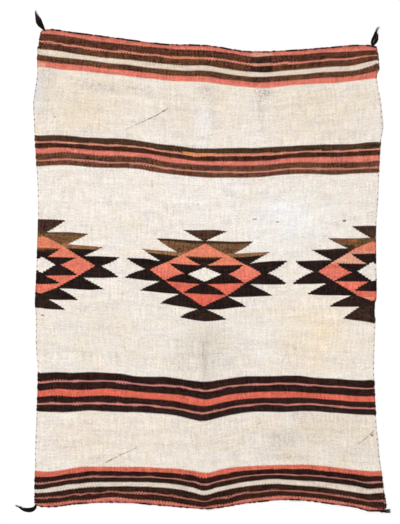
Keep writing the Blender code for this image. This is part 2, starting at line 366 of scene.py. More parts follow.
BANDS = (
    Band("first", "top of bottom red", (Stripe(1, (220, 126, 107)),)),
    Band(
        "top of bottom red",
        "bottom of low cream",
        (Stripe(17.4, (54, 30, 23)), Stripe(4.2, (188, 116, 100)), Stripe(19.0, (52, 31, 24))),
    ),
    Band("bottom of low cream", "top of low cream", (Stripe(1, (229, 212, 196)),)),
    Band(
        "top of low cream",
        "top of bottom band",
        (
            Stripe(18.5, (45, 28, 21)),
            Stripe(4.2, (196, 128, 116)),
            Stripe(19.2, (45, 23, 18)),
            Stripe(17.0, (216, 109, 88)),
        ),
    ),
    Band(
        "bottom of lower band",
        "bottom of lower red",
        (Stripe(23.5, (44, 30, 26)), Stripe(6.0, (212, 132, 122)), Stripe(21.6, (47, 28, 23))),
    ),
    Band("bottom of lower red", "top of lower red", (Stripe(1, (220, 106, 86)),)),
    Band(
        "top of lower red",
        "top of lower band",
        (Stripe(28.2, (45, 26, 23)), Stripe(6.0, (212, 136, 124)), Stripe(29.6, (46, 27, 23))),
    ),
    Band(
        "bottom of upper band",
        "bottom of upper red",
        (Stripe(16.5, (100, 63, 45)), Stripe(5.6, (208, 136, 118)), Stripe(20.0, (96, 61, 45))),
    ),
    Band("bottom of upper red", "top of upper red", (Stripe(1, (220, 123, 106)),)),
    Band(
        "top of upper red",
        "top of upper band",
        (Stripe(18.5, (70, 39, 27)), Stripe(5.8, (222, 148, 124)), Stripe(23.2, (72, 49, 35))),
    ),
    Band(
        "bottom of top band",
        "bottom of high cream",
        (Stripe(19.5, (222, 122, 104)), Stripe(20.5, (96, 61, 43))),
    ),
    Band("bottom of high cream", "top of high cream", (Stripe(1, (229, 212, 192)),)),
    Band(
        "top of high cream",
        "bottom of top red",
        (Stripe(23.3, (90, 55, 38)), Stripe(6.4, (218, 136, 114)), Stripe(24.8, (86, 51, 37))),
    ),
    Band("bottom of top red", "last", (Stripe(1, (225, 125, 107)),)),
)


class Teeth(NamedTuple):
    """A row of teeth, from its top to its bottom height, and how far it reaches from the axis at both.

    Its slanting edge bulges outwards halfway, by a share of the difference between its two reaches.
    """

    top: float
    bottom: float
    left: tuple
    right: tuple
    bulge: float


def half_teeth(top, bottom, reaches, bulge):
    """A row of teeth of a half motif, whose other half the edge of the cloth cuts off."""
    return Teeth(top, bottom, reaches, reaches, bulge)


class Diamond(NamedTuple):
    """A plain diamond: heights of its top, widest place and bottom, and how far it reaches to each side."""

    top: float
    middle: float
    bottom: float
    left: float
    right: float


class Patch(NamedTuple):
    """A soft spot of another colour, the wool's own except in two stains of painted light and shade: its
    middle, half its size, its colour and strength.
    """

    name: str
    middle: tuple
    half: tuple
    colour: tuple
    strength: float


class Motif(NamedTuple):
    """Serrated diamonds around an axis, each inside the one before. Colours run up from their heights."""

    name: str
    axis: float
    outer: tuple
    red: Diamond
    inner: tuple
    eye: Diamond
    outer_colours: tuple
    red_colours: tuple
    inner_colours: tuple
    outer_patches: tuple = ()
    red_patches: tuple = ()


MOTIFS = (
    Motif(
        "middle motif",
        6.0,
        (
            Teeth(121, 80, (81, 8), (82, 3), 0.02),
            Teeth(80, 29, (181, 103), (180, 108), 0.11),
            Teeth(29, -11.5, (235, 167), (243, 170), 0.05),
            Teeth(-11.5, -46, (294, 226), (309, 238), 0.08),
            Teeth(-46, -83, (224, 299), (242, 306), 0.13),
            Teeth(-83, -121, (168, 240), (170, 254), 0.07),
            Teeth(-121, -176, (94, 161), (89, 160), 0.12),
            Teeth(-176, -221, (21, 88), (12, 84), 0.13),
        ),
        Diamond(71, -46, -166, 205, 213),
        (
            Teeth(20, -12, (74, 13), (68, 8), 0.06),
            Teeth(-12, -46, (130, 74), (143, 90), 0.12),
            Teeth(-46, -82, (84, 150), (92, 149), 0.08),
            Teeth(-82, -119, (17, 79), (10, 80), 0.08),
        ),
        Diamond(-19, -46, -72.5, 63, 62),
        (
            (-221, (46, 31, 25)),
            (-175, (38, 26, 22)),
            (-121, (37, 25, 22)),
            (16, (142, 104, 70)),
            (29, (118, 84, 57)),
            (69, (66, 44, 31)),
            (80, (74, 50, 38)),
        ),
        (
            (-166, (224, 104, 84)),
            (-85, (225, 110, 90)),
            (-46, (234, 127, 107)),
            (0, (231, 135, 105)),
            (71, (227, 132, 105)),
        ),
        ((-119, (38, 24, 22)), (8, (60, 36, 26)), (15, (132, 80, 50))),
    ),
    Motif(
        "left motif",
        -605.6,
        (
            half_teeth(121, 80, (84, 14), 0.05),
            half_teeth(80, 29, (170, 93), 0.03),
            half_teeth(29, -11.5, (228, 158), 0.03),
            half_teeth(-11.5, -46, (290, 226), 0.1),
            half_teeth(-46, -83, (223, 289), 0.11),
            half_teeth(-83, -121, (157, 235), 0.04),
            half_teeth(-121, -176, (68, 141), 0.08),
            half_teeth(-176, -221, (31, 92), 0.08),
        ),
        Diamond(67, -46, -147.5, 200, 200),
        (
            half_teeth(17, -15, (68, 17), 0.06),
            half_teeth(-15, -46, (127, 69), 0.04),
            half_teeth(-46, -77, (72, 133), 0.08),
            half_teeth(-77, -105, (12, 70), 0.08),
        ),
        Diamond(-14, -46, -70, 50, 50),
        (
            (-221, (48, 33, 27)),
            (-175, (40, 27, 24)),
            (-121, (37, 25, 22)),
            (15, (142, 100, 68)),
            (29, (116, 82, 54)),
            (75, (72, 50, 36)),
            (80, (66, 46, 37)),
        ),
        ((-147, (228, 123, 99)), (-46, (230, 124, 103)), (66, (222, 134, 99))),
        ((-119, (38, 24, 22)), (3, (58, 36, 26)), (11, (128, 78, 46))),
    ),
    Motif(
        "right motif",
        635.6,
        (
            half_teeth(121, 80, (77, 7), 0.02),
            half_teeth(80, 29, (165, 91), 0.03),
            half_teeth(29, -11.5, (225, 152), 0.05),
            half_teeth(-11.5, -46, (289, 222), 0.15),
            half_teeth(-46, -83, (224, 300), 0.12),
            half_teeth(-83, -121, (172, 244), 0.09),
            half_teeth(-121, -176, (81, 156), 0.09),
            half_teeth(-176, -221, (43, 106), 0.07),
        ),
        Diamond(64, -46, -149, 203, 203),
        (
            half_teeth(12.4, -20.4, (80, 18), 0.04),
            half_teeth(-20.4, -46, (131, 86), 0.1),
            half_teeth(-46, -77, (72, 143), 0.04),
            half_teeth(-77, -107, (13, 68), 0.08),
        ),
        Diamond(-13, -45, -77, 56, 56),
        (
            (-221, (56, 38, 31)),
            (-175, (42, 28, 24)),
            (-121, (37, 25, 22)),
            (22, (62, 42, 30)),
            (29, (110, 80, 52)),
            (80, (66, 46, 36)),
        ),
        (
            (-149, (226, 113, 93)),
            (-46, (227, 120, 103)),
            (-21, (225, 118, 100)),
            (-20, (226, 168, 142)),
            (10, (226, 160, 132)),
            (22, (226, 132, 107)),
            (69, (224, 126, 103)),
        ),
        ((-119, (38, 24, 22)), (10, (42, 27, 23))),
        (
            Patch("orange in the walnut teeth", (562, 66), (17, 8), (172, 104, 52), 0.6),
            Patch("dark tip of the walnut teeth", (540, 38), (30, 9), (44, 30, 24), 0.8),
        ),
        (Patch("pale strip under the eye", (622, -135), (18, 5), (226, 170, 143), 0.7),),
    ),
)

# How the motifs are charted: the range of their heights and reaches, how thick the tips of the teeth are,
# and the steps in a bulge
MOTIF_FOOT, MOTIF_HEAD = -230.0, 130.0
REACH = 330.0
TIP = 2.4
BULGE_STEPS = 3

# Yarn of other dye lots in the stripes
STRIPE_PATCHES = (
    Patch("orange in the upper thin red", (-22, 404), (60, 5), (228, 150, 86), 0.85),
    Patch("paler orange beside it", (140, 403), (105, 4), (228, 140, 98), 0.6),
    Patch("orange in the top thin red", (-65, 764), (60, 4.5), (214, 138, 88), 0.55),
    Patch("salmon in the top red", (212, 803), (40, 9), (226, 164, 136), 0.8),
    Patch("salmon in the top thin red", (210, 765), (36, 5), (214, 148, 120), 0.8),
    Patch("black in the top stripe", (212, 781), (40, 12), (56, 38, 34), 0.8),
    Patch("black in the second stripe", (212, 747), (40, 10), (50, 34, 30), 0.85),
    Patch("dark in the fourth stripe", (208, 707), (36, 10), (66, 44, 36), 0.6),
    Patch("darker above the cream", (-520, 745), (60, 8), (66, 44, 36), 0.5),
    Patch("pale left end of the lower red", (-608, 682), (13, 8), (230, 172, 150), 0.7),
    Patch("dark right end of the bottom red", (642, -915), (22, 8), (92, 50, 42), 0.6),
)
# Burrs and dark hairs left in the fleece of the field
BURRS = (
    Patch("first burr", (191, 163), (7, 2.2), (150, 130, 112), 0.8),
    Patch("second burr", (277, 149), (6, 2.2), (140, 122, 108), 0.8),
    Patch("third burr", (529, 141), (6, 3), (96, 80, 72), 0.9),
    Patch("fourth burr", (-547, 495), (5, 3), (196, 158, 112), 0.8),
    Patch("fifth burr", (-600, -246), (6, 2.5), (128, 100, 80), 0.8),
    Patch("sixth burr", (630, -664), (4.5, 4), (140, 122, 106), 0.9),
)


class Join(NamedTuple):
    """A slanting join, where one side of the field was woven before the other: strengths at its ends."""

    start: tuple
    end: tuple
    at_start: float
    at_end: float


JOINS = (
    Join((-131, 568), (-184, 530), 0.9, 1.0),
    Join((-184, 530), (-298, 461), 1.0, 0.2),
    Join((-236, -713), (-372, -776), 0.3, 0.9),
    Join((643, -646), (571, -700), 0.9, 0.3),
)
# Their colour and half width, and the lengths in which they bend and break
JOIN_COLOUR = (122, 104, 92)
JOIN_WIDTH = 2.6
JOIN_BEND, JOIN_BREAK = 30.0, 14.0


class Blotch(NamedTuple):
    """Soft clouds of another colour all over the field."""

    sizes: tuple
    strength: float
    colour: tuple


BLOTCHES = (
    Blotch((120, 75), 0.28, (240, 219, 190)),
    Blotch((-95, 110), 0.3, (243, 239, 236)),
    Blotch((60, -30), 0.22, (216, 208, 200)),
)
# Small specks all over the field
SPECK = (158, 138, 120)
SPECK_SIZE = (6, 3.2)


class Smudge(NamedTuple):
    """An oval of grey soil in the ribs; the one on the lower middle crease is painted shade."""

    middle: tuple
    half: tuple
    strength: float


SOIL_AND_CREASE_SHADE = (
    Smudge((221, 655), (38, 30), 1.0),
    Smudge((206, 590), (10, 70), 0.5),
    Smudge((8, 640), (40, 26), 0.4),
    Smudge((30, 560), (30, 80), 0.2),
    Smudge((-395, 622), (85, 26), 0.5),
    Smudge((-250, 628), (60, 24), 0.4),
    Smudge((-596, 640), (34, 90), 0.2),
    Smudge((290, -692), (56, 30), 0.4),
    Smudge((300, -762), (80, 16), 0.4),
    # painted shade along the lower middle crease, not soil
    Smudge((6, -357), (18, 75), 0.5),
    Smudge((-90, -400), (60, 30), 0.3),
    Smudge((330, -330), (70, 40), 0.25),
)
# The grey of the soil and of the painted crease shade, and the size of its ticks
SOIL_AND_SHADE_GREY = (152, 141, 134)
TICK_SIZE = (7, 16)

# Ovals of the cream field, in the tables' frame. Two of them are not stains: they are painted light and
# painted shade on the ridge of the middle crease.
STAINS_AND_CREASE_SHADING = (
    Patch("top left, yellowed", (-461, 609), (210, 150), (235, 219, 198), 0.95),
    Patch("top middle", (-11, 590), (170, 140), (235, 221, 203), 0.85),
    Patch("top right, yellowed", (439, 590), (220, 150), (237, 222, 203), 0.9),
    # painted light on the crest of the middle crease
    Patch("bleached strip", (0, 515), (48, 95), (244, 239, 236), 0.85),
    Patch("greyed corner", (-600, 680), (50, 60), (228, 218, 206), 0.8),
    Patch("greyed left edge", (-618, 620), (26, 80), (228, 224, 222), 0.8),
    Patch("left above the motifs", (-349, 215), (230, 110), (245, 235, 224), 0.9),
    Patch("middle above the motifs", (-11, 234), (170, 100), (245, 238, 231), 0.9),
    Patch("bleached, right of the middle", (308, 151), (160, 95), (248, 246, 244), 0.95),
    Patch("left below the motifs", (-386, -291), (240, 130), (240, 229, 215), 0.9),
    Patch("greyed below the middle motif", (8, -329), (120, 120), (225, 216, 203), 0.9),
    Patch("yellow, below the right motif", (428, -273), (150, 150), (247, 230, 205), 0.95),
    Patch("bottom left", (-349, -660), (260, 120), (240, 226, 210), 0.9),
    Patch("greyed bottom right", (439, -655), (260, 120), (231, 216, 197), 0.9),
    Patch("bottom middle", (40, -650), (120, 110), (235, 221, 205), 0.8),
    Patch("grey smudge at the bottom", (296, -666), (75, 40), (228, 220, 210), 0.7),
    # painted shade along the lower middle crease
    Patch("browned crease", (10, -365), (16, 90), (216, 200, 184), 0.5),
)


class Tassel(NamedTuple):
    """A knot and its yarn: widths of the bundle at its root, where it is widest and at its tip."""

    name: str
    route: tuple
    knot_length: float
    knot_width: float
    widths: tuple
    widest_at: float
    tips: tuple
    greyed: float


# Tips: how far along the route the yarn reaches, from the left to the right of the bundle
TASSELS = (
    Tassel(
        "tassel_top_left",
        ((-592.7, 868.6), (-603, 883), (-611.6, 895), (-617, 909), (-622, 924), (-628, 943)),
        7.0,
        7.0,
        (8.0, 23.0, 10.0),
        0.45,
        (0.86, 0.97, 1.0, 0.96, 0.86, 0.84, 0.7),
        0.4,
    ),
    Tassel(
        "tassel_top_right",
        ((632.8, 808.9), (640, 826), (645.8, 838.5), (649, 851), (651, 864), (654, 875), (661, 882)),
        7.0,
        7.0,
        (12.0, 24.0, 9.0),
        0.34,
        (0.72, 0.88, 1.0, 0.94, 0.7, 0.66, 0.5),
        0.1,
    ),
    Tassel(
        "tassel_bottom_left",
        ((-624.7, -907.1), (-633, -922), (-645, -928), (-658, -928), (-673, -926), (-688, -917),
         (-704, -911)),
        7.0,
        7.0,
        (9.0, 17.0, 8.0),
        0.34,
        (0.78, 0.92, 1.0, 0.9, 0.8, 0.62),
        0.06,
    ),
    Tassel(
        "tassel_bottom_right",
        ((663.5, -932.9), (674, -933.1), (685, -933.1), (700, -933)),
        19.0,
        10.0,
        (7.0, 15.0, 15.0),
        1.0,
        (1.0, 0.94, 0.66, 0.64, 0.88, 0.92),
        0.1,
    ),
)
# Height and cord of a knot, and the yarns and loose hairs of a tassel
KNOT_HEIGHT = 8.0
KNOT_CORD = 1.45
YARNS = 64
YARN_RADIUS = 0.75
FIBRES = 220
FIBRE_RADIUS = 0.1


class Twist(NamedTuple):
    """Two strands twisted around each other beside the cloth.

    Radius of a strand, length of a full turn, how far off the cloth their middle lies, how much they rise
    and fall, and how far they stray.
    """

    name: str
    strand: float
    turn: float
    offset: float
    lift: float
    sway: float


END_KIND = Twist("end_cord", 1.2, 14.0, GAP + END_CORD / 2, 1.2, 1.4)
SIDE_KIND = Twist("side_cord", 0.8, 44.0, GAP + SIDE_CORD / 2, 0.35, 0.0)


class Wear(NamedTuple):
    """Wear of an end cord: its pattern of noise, how worn it is, and from where on only half as much."""

    seed: float
    bias: float
    kept_from: float


TOP_WEAR = Wear(3.0, 0.35, 700.0)
BOTTOM_WEAR = Wear(8.0, 0.62, 515.0)

# Turns of the wefts around the side cords, in runs between the cords' crossings: their pitch, the gap
# between runs, how far they reach aside and up, and the share by which each bead swells
TURN_PITCH = 2.4
RUN_GAP = 3.6
TURN_REACH, TURN_RISE = 2.1, 1.45
BEAD_SWELL = 0.1
# Dark stripes bulge out at the sides: how far, over what height, and the brightest colour that counts
NUB = 1.5
NUB_RISE = 6.0
DARK_BELOW = 110
# Heights where the turns have worn off and the cord lies bare
BARE_LEFT = ((807, 819), (837, 856))
BARE_RIGHT = ((755, 774), (785, 800))

# How much the wool's colour varies: that of pale wool, the most, the share of single beads, the size of
# the clouds where it varies more or less, and the darkest share of its colour
UNEVEN = 0.198
UNEVEN_MOST = 1.35
BEAD_SHARE = 0.8
COARSE_SIZE = (85, 60)
DARKEST = 0.25


class Grain(NamedTuple):
    """Unevenness of one kind: how wide and tall its spots are, its finer levels, and its share."""

    name: str
    wide: float
    tall: float
    detail: float
    share: float


GRAINS = (
    Grain("flecks", 7.0, 6.0, 1.0, 1.35),
    Grain("spots", 17.0, 13.0, 1.0, 0.6),
    Grain("ribs", 8.0, 60.0, 0.0, 0.85),
    Grain("picks", 60.0, 6.0, 1.0, 0.9),
    Grain("courses", 150.0, 24.0, 1.0, 0.8),
    Grain("lanes", 300.0, 62.0, 1.0, 0.35),
)
# Drifts of the hue to red and to blue: how strong, and how large
RED_DRIFT, RED_SIZE = 0.35, (24, -16)
BLUE_DRIFT, BLUE_SIZE = 0.5, (-40, 26)

# Hairs and plies of the yarn, how deep their relief is in metres, and the grey that yarn fades to
HAIR_SIZE = (1.4, 0.7)
BEAD_BUMP = 0.00007
YARN_HAIR_SIZES = (1.2, 1 / 3, 1 / 3)
HAIR_BUMP = 0.0001
PLY_SIZES = (5, 1 / 1.4, 1 / 1.4)
GREYED = (150, 140, 134)

# Camera: above the middle of the photo. Its height and the length that it shows are in metres.
CAMERA_X, CAMERA_Y = -11.2, 1.1
CAMERA_HEIGHT = 6.0
VIEW_LENGTH = 1.965
SENSOR = 36.0

# Floor, in metres: how far under the cloth, half its size, and the spots of its grain
FLOOR_DROP = 0.0002
FLOOR_HALF = 60.0
FLOOR_GRAIN = (0.025, 0.025, 0.025)
FLOOR_DARK, FLOOR_LIGHT = (0.95, 0.95, 0.95), (0.97, 0.97, 0.97)


class Lamp(NamedTuple):
    """A soft square light: its place and size in metres, and its power in watts."""

    name: str
    place: tuple
    size: float
    power: float


LAMPS = (Lamp("key", (-2.2, 1.7, 6.5), 3.0, 246.0), Lamp("fill", (1.5, -1.2, 6.5), 4.0, 137.0))
SKY_STRENGTH = 0.42


def smooth_curve(points):
    """A reader of the smooth curve through points, which run from left to right."""
    places, values = np.array(points, float).T
    slopes = np.empty_like(values)
    slopes[1:-1] = (values[2:] - values[:-2]) / (places[2:] - places[:-2])
    slopes[0] = (values[1] - values[0]) / (places[1] - places[0])
    slopes[-1] = (values[-1] - values[-2]) / (places[-1] - places[-2])

    def read(at):
        at = np.clip(at, places[0], places[-1])
        k = np.clip(np.searchsorted(places, at, side="right") - 1, 0, len(places) - 2)
        span = places[k + 1] - places[k]
        t = (at - places[k]) / span
        return (
            values[k] * (2 * t**3 - 3 * t**2 + 1)
            + values[k + 1] * (3 * t**2 - 2 * t**3)
            + slopes[k] * span * (t**3 - 2 * t**2 + t)
            + slopes[k + 1] * span * (t**3 - t**2)
        )

    return read


def smooth_step(t):
    """0 to 1 with level ends."""
    t = np.clip(t, 0.0, 1.0)
    return t * t * (3 - 2 * t)


def reached(points):
    """How far along a line each of its points lies."""
    return np.concatenate([[0.0], np.cumsum(np.linalg.norm(np.diff(points, axis=0), axis=1))])


def directions(points):
    """The direction of a line at each of its points."""
    ahead = np.gradient(points, axis=0)
    return ahead / np.linalg.norm(ahead, axis=1)[:, None]


def end_line(points, inset):
    """A reader of the height of the first or last weft, from places across the loom."""
    edge = smooth_curve(points)
    first, last = points[0][0], points[-1][0]
    return lambda across: edge(first + (across - LEFT_WARP) / WIDTH * (last - first)) + inset


LEFT_EDGE = smooth_curve([(side.y, side.left + SIDE_CORD + GAP) for side in SIDES])
RIGHT_EDGE = smooth_curve([(side.y, side.right - SIDE_CORD - GAP) for side in SIDES])
WEFT_NAMES = ["first", *(weft.name for weft in WEFTS), "last"]
WEFT_LINES = [
    end_line(BOTTOM_END, END_CORD + GAP),
    *(smooth_curve(list(zip(weft.across, weft.heights))) for weft in WEFTS),
    end_line(TOP_END, -END_CORD - GAP),
]
HEIGHTS = np.array([line(MIDDLE_WARP) for line in WEFT_LINES])


def on_table(across, height):
    """Where places on the loom lie in the tables' frame."""
    across, height = np.broadcast_arrays(np.asarray(across, float), np.asarray(height, float))
    lines = np.stack([line(across) for line in WEFT_LINES])
    k = np.clip(np.searchsorted(HEIGHTS, height, side="right") - 1, 0, len(HEIGHTS) - 2)
    t = (height - HEIGHTS[k]) / (HEIGHTS[k + 1] - HEIGHTS[k])
    low = np.take_along_axis(lines, k[None], 0)[0]
    high = np.take_along_axis(lines, k[None] + 1, 0)[0]
    y = low + t * (high - low)
    share = (across - LEFT_WARP) / WIDTH
    return LEFT_EDGE(y) + share * (RIGHT_EDGE(y) - LEFT_EDGE(y)), y


def stripe_spans(band):
    """For each stripe of a band the heights at the middle warp that it lies between, and its colour."""
    low, high = (float(HEIGHTS[WEFT_NAMES.index(name)]) for name in (band.low, band.high))
    scale = (high - low) / sum(stripe.width for stripe in band.stripes)
    spans = []
    for stripe in band.stripes:
        spans.append((low, low + stripe.width * scale, stripe.colour))
        low += stripe.width * scale
    return spans


def ridge(fold, x, y):
    """How high one fold lifts the cloth."""
    run_x, run_y = fold.end[0] - fold.start[0], fold.end[1] - fold.start[1]
    length = math.hypot(run_x, run_y)
    x, y = x - fold.start[0], y - fold.start[1]
    along = (x * run_x + y * run_y) / length
    aside = np.abs(x * run_y - y * run_x) / length
    t = np.clip(along / length, 0.0, 1.0)
    past_end = np.maximum(np.maximum(-along, along - length), 0.0)
    fade = smooth_step(1 - past_end / fold.half_width) * smooth_step(1 - aside / fold.half_width)
    return fade * (fold.start_height + t * (fold.end_height - fold.start_height))


def surface(x, y):
    """How high the underside of the cloth lies."""
    x, y = np.broadcast_arrays(np.asarray(x, float), np.asarray(y, float))
    height = np.maximum(sum(ridge(fold, x, y) for fold in FOLDS + SLIGHT_FOLDS) - FLAT_BELOW, 0.0)
    for wave in RIPPLES:
        places = zip(x.flat, y.flat)
        values = [noise.noise(Vector((a / wave.across, b / wave.along, wave.seed))) for a, b in places]
        height = height + wave.rise * (1 + np.clip(np.reshape(values, x.shape) * 1.6, -1, 1))
    return height


def brightness(colours):
    """Colours as the photo shows them, as the wool's own in the scene's light."""
    shares = np.array(colours, float) / 255
    return np.where(shares <= 0.04045, shares / 12.92, ((shares + 0.055) / 1.055) ** 2.4) / LIGHT_LEVEL


def linear(colour):
    """One such colour, for a node."""
    return tuple(float(value) for value in brightness(colour))


class Value:
    """A number that nodes work out. A sum with it is a node of its own."""

    def __init__(self, nodes, socket):
        self.nodes = nodes
        self.socket = socket

    def __add__(self, other):
        return self.nodes.math("ADD", self, other)

    def __sub__(self, other):
        return self.nodes.math("SUBTRACT", self, other)

    def __rsub__(self, other):
        return self.nodes.math("SUBTRACT", other, self)

    def __mul__(self, other):
        return self.nodes.math("MULTIPLY", self, other)

    def __truediv__(self, other):
        return self.nodes.math("DIVIDE", self, other)

    def __rtruediv__(self, other):
        return self.nodes.math("DIVIDE", other, self)

    def __gt__(self, other):
        return self.nodes.math("GREATER_THAN", self, other)

    def __lt__(self, other):
        return self.nodes.math("LESS_THAN", self, other)

    def __abs__(self):
        return self.nodes.math("ABSOLUTE", self)


class Nodes:
    """A material's nodes, with short ways to add nodes that feed each other."""

    def __init__(self, name):
        self.material = bpy.data.materials.new(name)
        self.material.use_nodes = True
        self.tree = self.material.node_tree
        self.shader = self.tree.nodes["Principled BSDF"]

    def feed(self, socket, value):
        """Links an input to an output, or sets it."""
        if isinstance(value, Value):
            value = value.socket
        if isinstance(value, bpy.types.NodeSocket):
            self.tree.links.new(value, socket)
        elif socket.type == "RGBA":
            socket.default_value = (*value, 1.0)
        else:
            socket.default_value = value

    def add(self, kind, inputs, **settings):
        """The outputs of a new node, with its settings made and its inputs fed."""
        node = self.tree.nodes.new("ShaderNode" + kind)
        for name, value in settings.items():
            setattr(node, name, value)
        for key, value in inputs.items():
            self.feed(node.inputs[key], value)
        return node.outputs

    def math(self, operation, *values):
        """The result of a sum on numbers."""
        return Value(self, self.add("Math", dict(enumerate(values)), operation=operation)[0])

    def span(self, value, low, high, to_low=0.0, to_high=1.0):
        """A value between two bounds, taken to between two others."""
        bounds = {"Value": value, "From Min": low, "From Max": high, "To Min": to_low, "To Max": to_high}
        return Value(self, self.add("MapRange", bounds)["Result"])

    def mix(self, factor, one, other, blend_type="MIX"):
        """One colour with another laid over it."""
        return self.add("Mix", {0: factor, 6: one, 7: other}, data_type="RGBA", blend_type=blend_type)[2]

    def vector(self, x, y, z=0.0):
        """Three numbers as a vector."""
        return self.add("CombineXYZ", {0: x, 1: y, 2: z})[0]

    def split(self, vector):
        """The three numbers of a vector."""
        return [Value(self, socket) for socket in self.add("SeparateXYZ", {0: vector})]

    def local(self, place, middle, half, turn=0.0):
        """A place seen from a middle, in shares of half sizes, with the axes turned."""
        inputs = {"Vector": place, "Location": (*middle, 0), "Rotation": (0, 0, turn), "Scale": (*half, 1)}
        return self.add("Mapping", inputs, vector_type="TEXTURE")[0]

    def noise(self, vector, detail=2.0, roughness=0.5):
        """Soft noise, mostly between 0.3 and 0.7."""
        inputs = {"Vector": vector, "Scale": 1.0, "Detail": detail, "Roughness": roughness}
        return Value(self, self.add("TexNoise", inputs)[0])

    def spots(self, place, sizes, detail=2.0, roughness=0.5):
        """Soft noise in spots of some size. A size below 0 gives it another pattern."""
        scale = tuple(1 / size for size in (*sizes, 1.0)[:3])
        scaled = self.add("VectorMath", {0: place, 1: scale}, operation="MULTIPLY")[0]
        return self.noise(scaled, detail, roughness)

    def ramp(self, value, stops, interpolation="LINEAR"):
        """Colour and alpha that go with a value, from places and colours."""
        outputs = self.add("ValToRGB", {0: value})
        ramp = outputs[0].node.color_ramp
        ramp.interpolation = interpolation
        while len(ramp.elements) < len(stops):
            ramp.elements.new(1.0)
        for element, (place, colour) in zip(ramp.elements, stops):
            element.position = place
            element.color = colour if len(colour) == 4 else (*colour, 1.0)
        return outputs

    def curve(self, value, points):
        """The height of a line through points at a value, all of them between 0 and 1."""
        output = self.add("FloatCurve", {"Value": value})[0]
        mapping = output.node.mapping
        line = mapping.curves[0]
        while len(line.points) < len(points):
            line.points.new(0.5, 0.5)
        for dot, place in zip(line.points, points):
            dot.location = place
            dot.handle_type = "VECTOR"
        mapping.update()
        return Value(self, output)

    def dress(self, looks):
        """The material, with inputs of its shader fed by name."""
        for name, value in looks.items():
            self.feed(self.shader.inputs[name], value)
        return self.material

    def wool(self, colour, hair, smoothest, relief, depth, strength):
        """The material as wool. All wool has hairs that leave the yarn, little gloss and a faint sheen."""
        bump = self.add("Bump", {"Strength": strength, "Distance": depth, "Height": relief})[0]
        looks = {
            "Base Color": colour,
            "Roughness": self.span(hair, 0.2, 0.8, smoothest, 0.98),
            "Normal": bump,
            "Specular IOR Level": 0.08,
            "Sheen Weight": 0.02,
            "Sheen Roughness": 0.5,
        }
        return self.dress(looks)


class Loom(NamedTuple):
    """Where a point of the cloth lies on the loom.

    Its place, the numbers of its warp and its pick, how far across the middle of that warp lies, and its
    height as shifted by the comb of the stripes and by that of the motifs.
    """

    place: object
    warp: Value
    pick: Value
    stepped: Value
    toothed: Value
    serrated: Value


def read_loom(nodes):
    """Reads the loom's map, and the warp that a point lies on."""
    place = nodes.add("UVMap", {}, uv_map="Loom")[0]
    across, height, _ = nodes.split(place)
    warp = nodes.math("FLOOR", (across - LEFT_WARP) / WARP_PITCH)
    odd = nodes.math("PINGPONG", warp, 1.0)
    wander = nodes.spots(place, WANDER_SIZE, 5.0, 0.75)
    combs = []
    for most, tooth in ((WANDER, TOOTH), (MOTIF_WANDER, MOTIF_TOOTH)):
        combs.append(wander * most + (height - (most / 2 + tooth)) + odd * (2 * tooth))
    return Loom(place, warp, odd * 0.5 + height / PICK, (warp + 0.5) * WARP_PITCH + LEFT_WARP, *combs)


def banded(nodes, loom, colour):
    """The colour with all bands of stripes laid over it."""
    margin, clear = 5.0, (0.0, 0.0, 0.0, 0.0)
    sway = (nodes.spots(loom.place, SWAY_SIZE) - 0.5) * (4 * SWAY)
    for band in BANDS:
        spans = stripe_spans(band)
        low, high = spans[0][0], spans[-1][1]
        reach = high - low + 2 * margin
        stops = [((start - low + margin) / reach, linear(shade)) for start, _, shade in spans]
        if band.low == "first":
            stops[0] = (0.0, stops[0][1])
        else:
            stops.insert(0, (0.0, clear))
        if band.high != "last":
            stops.append((1 - margin / reach, clear))
        share = nodes.span(loom.toothed, low - margin, high + margin)
        if len(band.stripes) > 2:
            within = nodes.span(loom.toothed, low, high)
            share = within * (1.0 - within) * (sway / reach) + share
        shade, alpha = nodes.ramp(share, stops, "CONSTANT")
        colour = nodes.mix(alpha, colour, shade)
    return colour


def motif_share(height):
    """A height as a share of the motifs' range."""
    return (height - MOTIF_FOOT) / (MOTIF_HEAD - MOTIF_FOOT)


def teeth_outline(teeth, side):
    """Heights and reaches along one side of a serrated diamond, from the bottom up."""
    line = []
    for row in sorted(teeth, key=lambda row: row.bottom):
        at_top, at_bottom = getattr(row, side)
        low = row.bottom + (TIP if at_bottom > at_top else 0.0)
        high = row.top - (TIP if at_top > at_bottom else 0.0)
        line.append((row.bottom, at_bottom))
        for k in range(BULGE_STEPS + 1):
            t = k / BULGE_STEPS
            bulge = 4 * t * (1 - t) * row.bulge * abs(at_top - at_bottom)
            line.append((low + t * (high - low), at_bottom + t * (at_top - at_bottom) + bulge))
        line.append((row.top, at_top))
    return line


def diamond_outline(diamond, side):
    """Heights and reaches along one side of a plain diamond, from the bottom up."""
    return [(diamond.bottom, 0.0), (diamond.middle, getattr(diamond, side)), (diamond.top, 0.0)]


def curve_points(line):
    """Points of the curve that gives a reach for every height, 0 outside the line."""
    step = 0.0006
    points = [(0.0, 0.0)]
    for height, reach in [(line[0][0], 0.0), *line, (line[-1][0], 0.0)]:
        place = motif_share(height)
        if place < points[-1][0] + step:
            if reach / REACH == points[-1][1]:
                continue
            place = points[-1][0] + step
        points.append((place, reach / REACH))
    return [*points, (1.0, 0.0)]


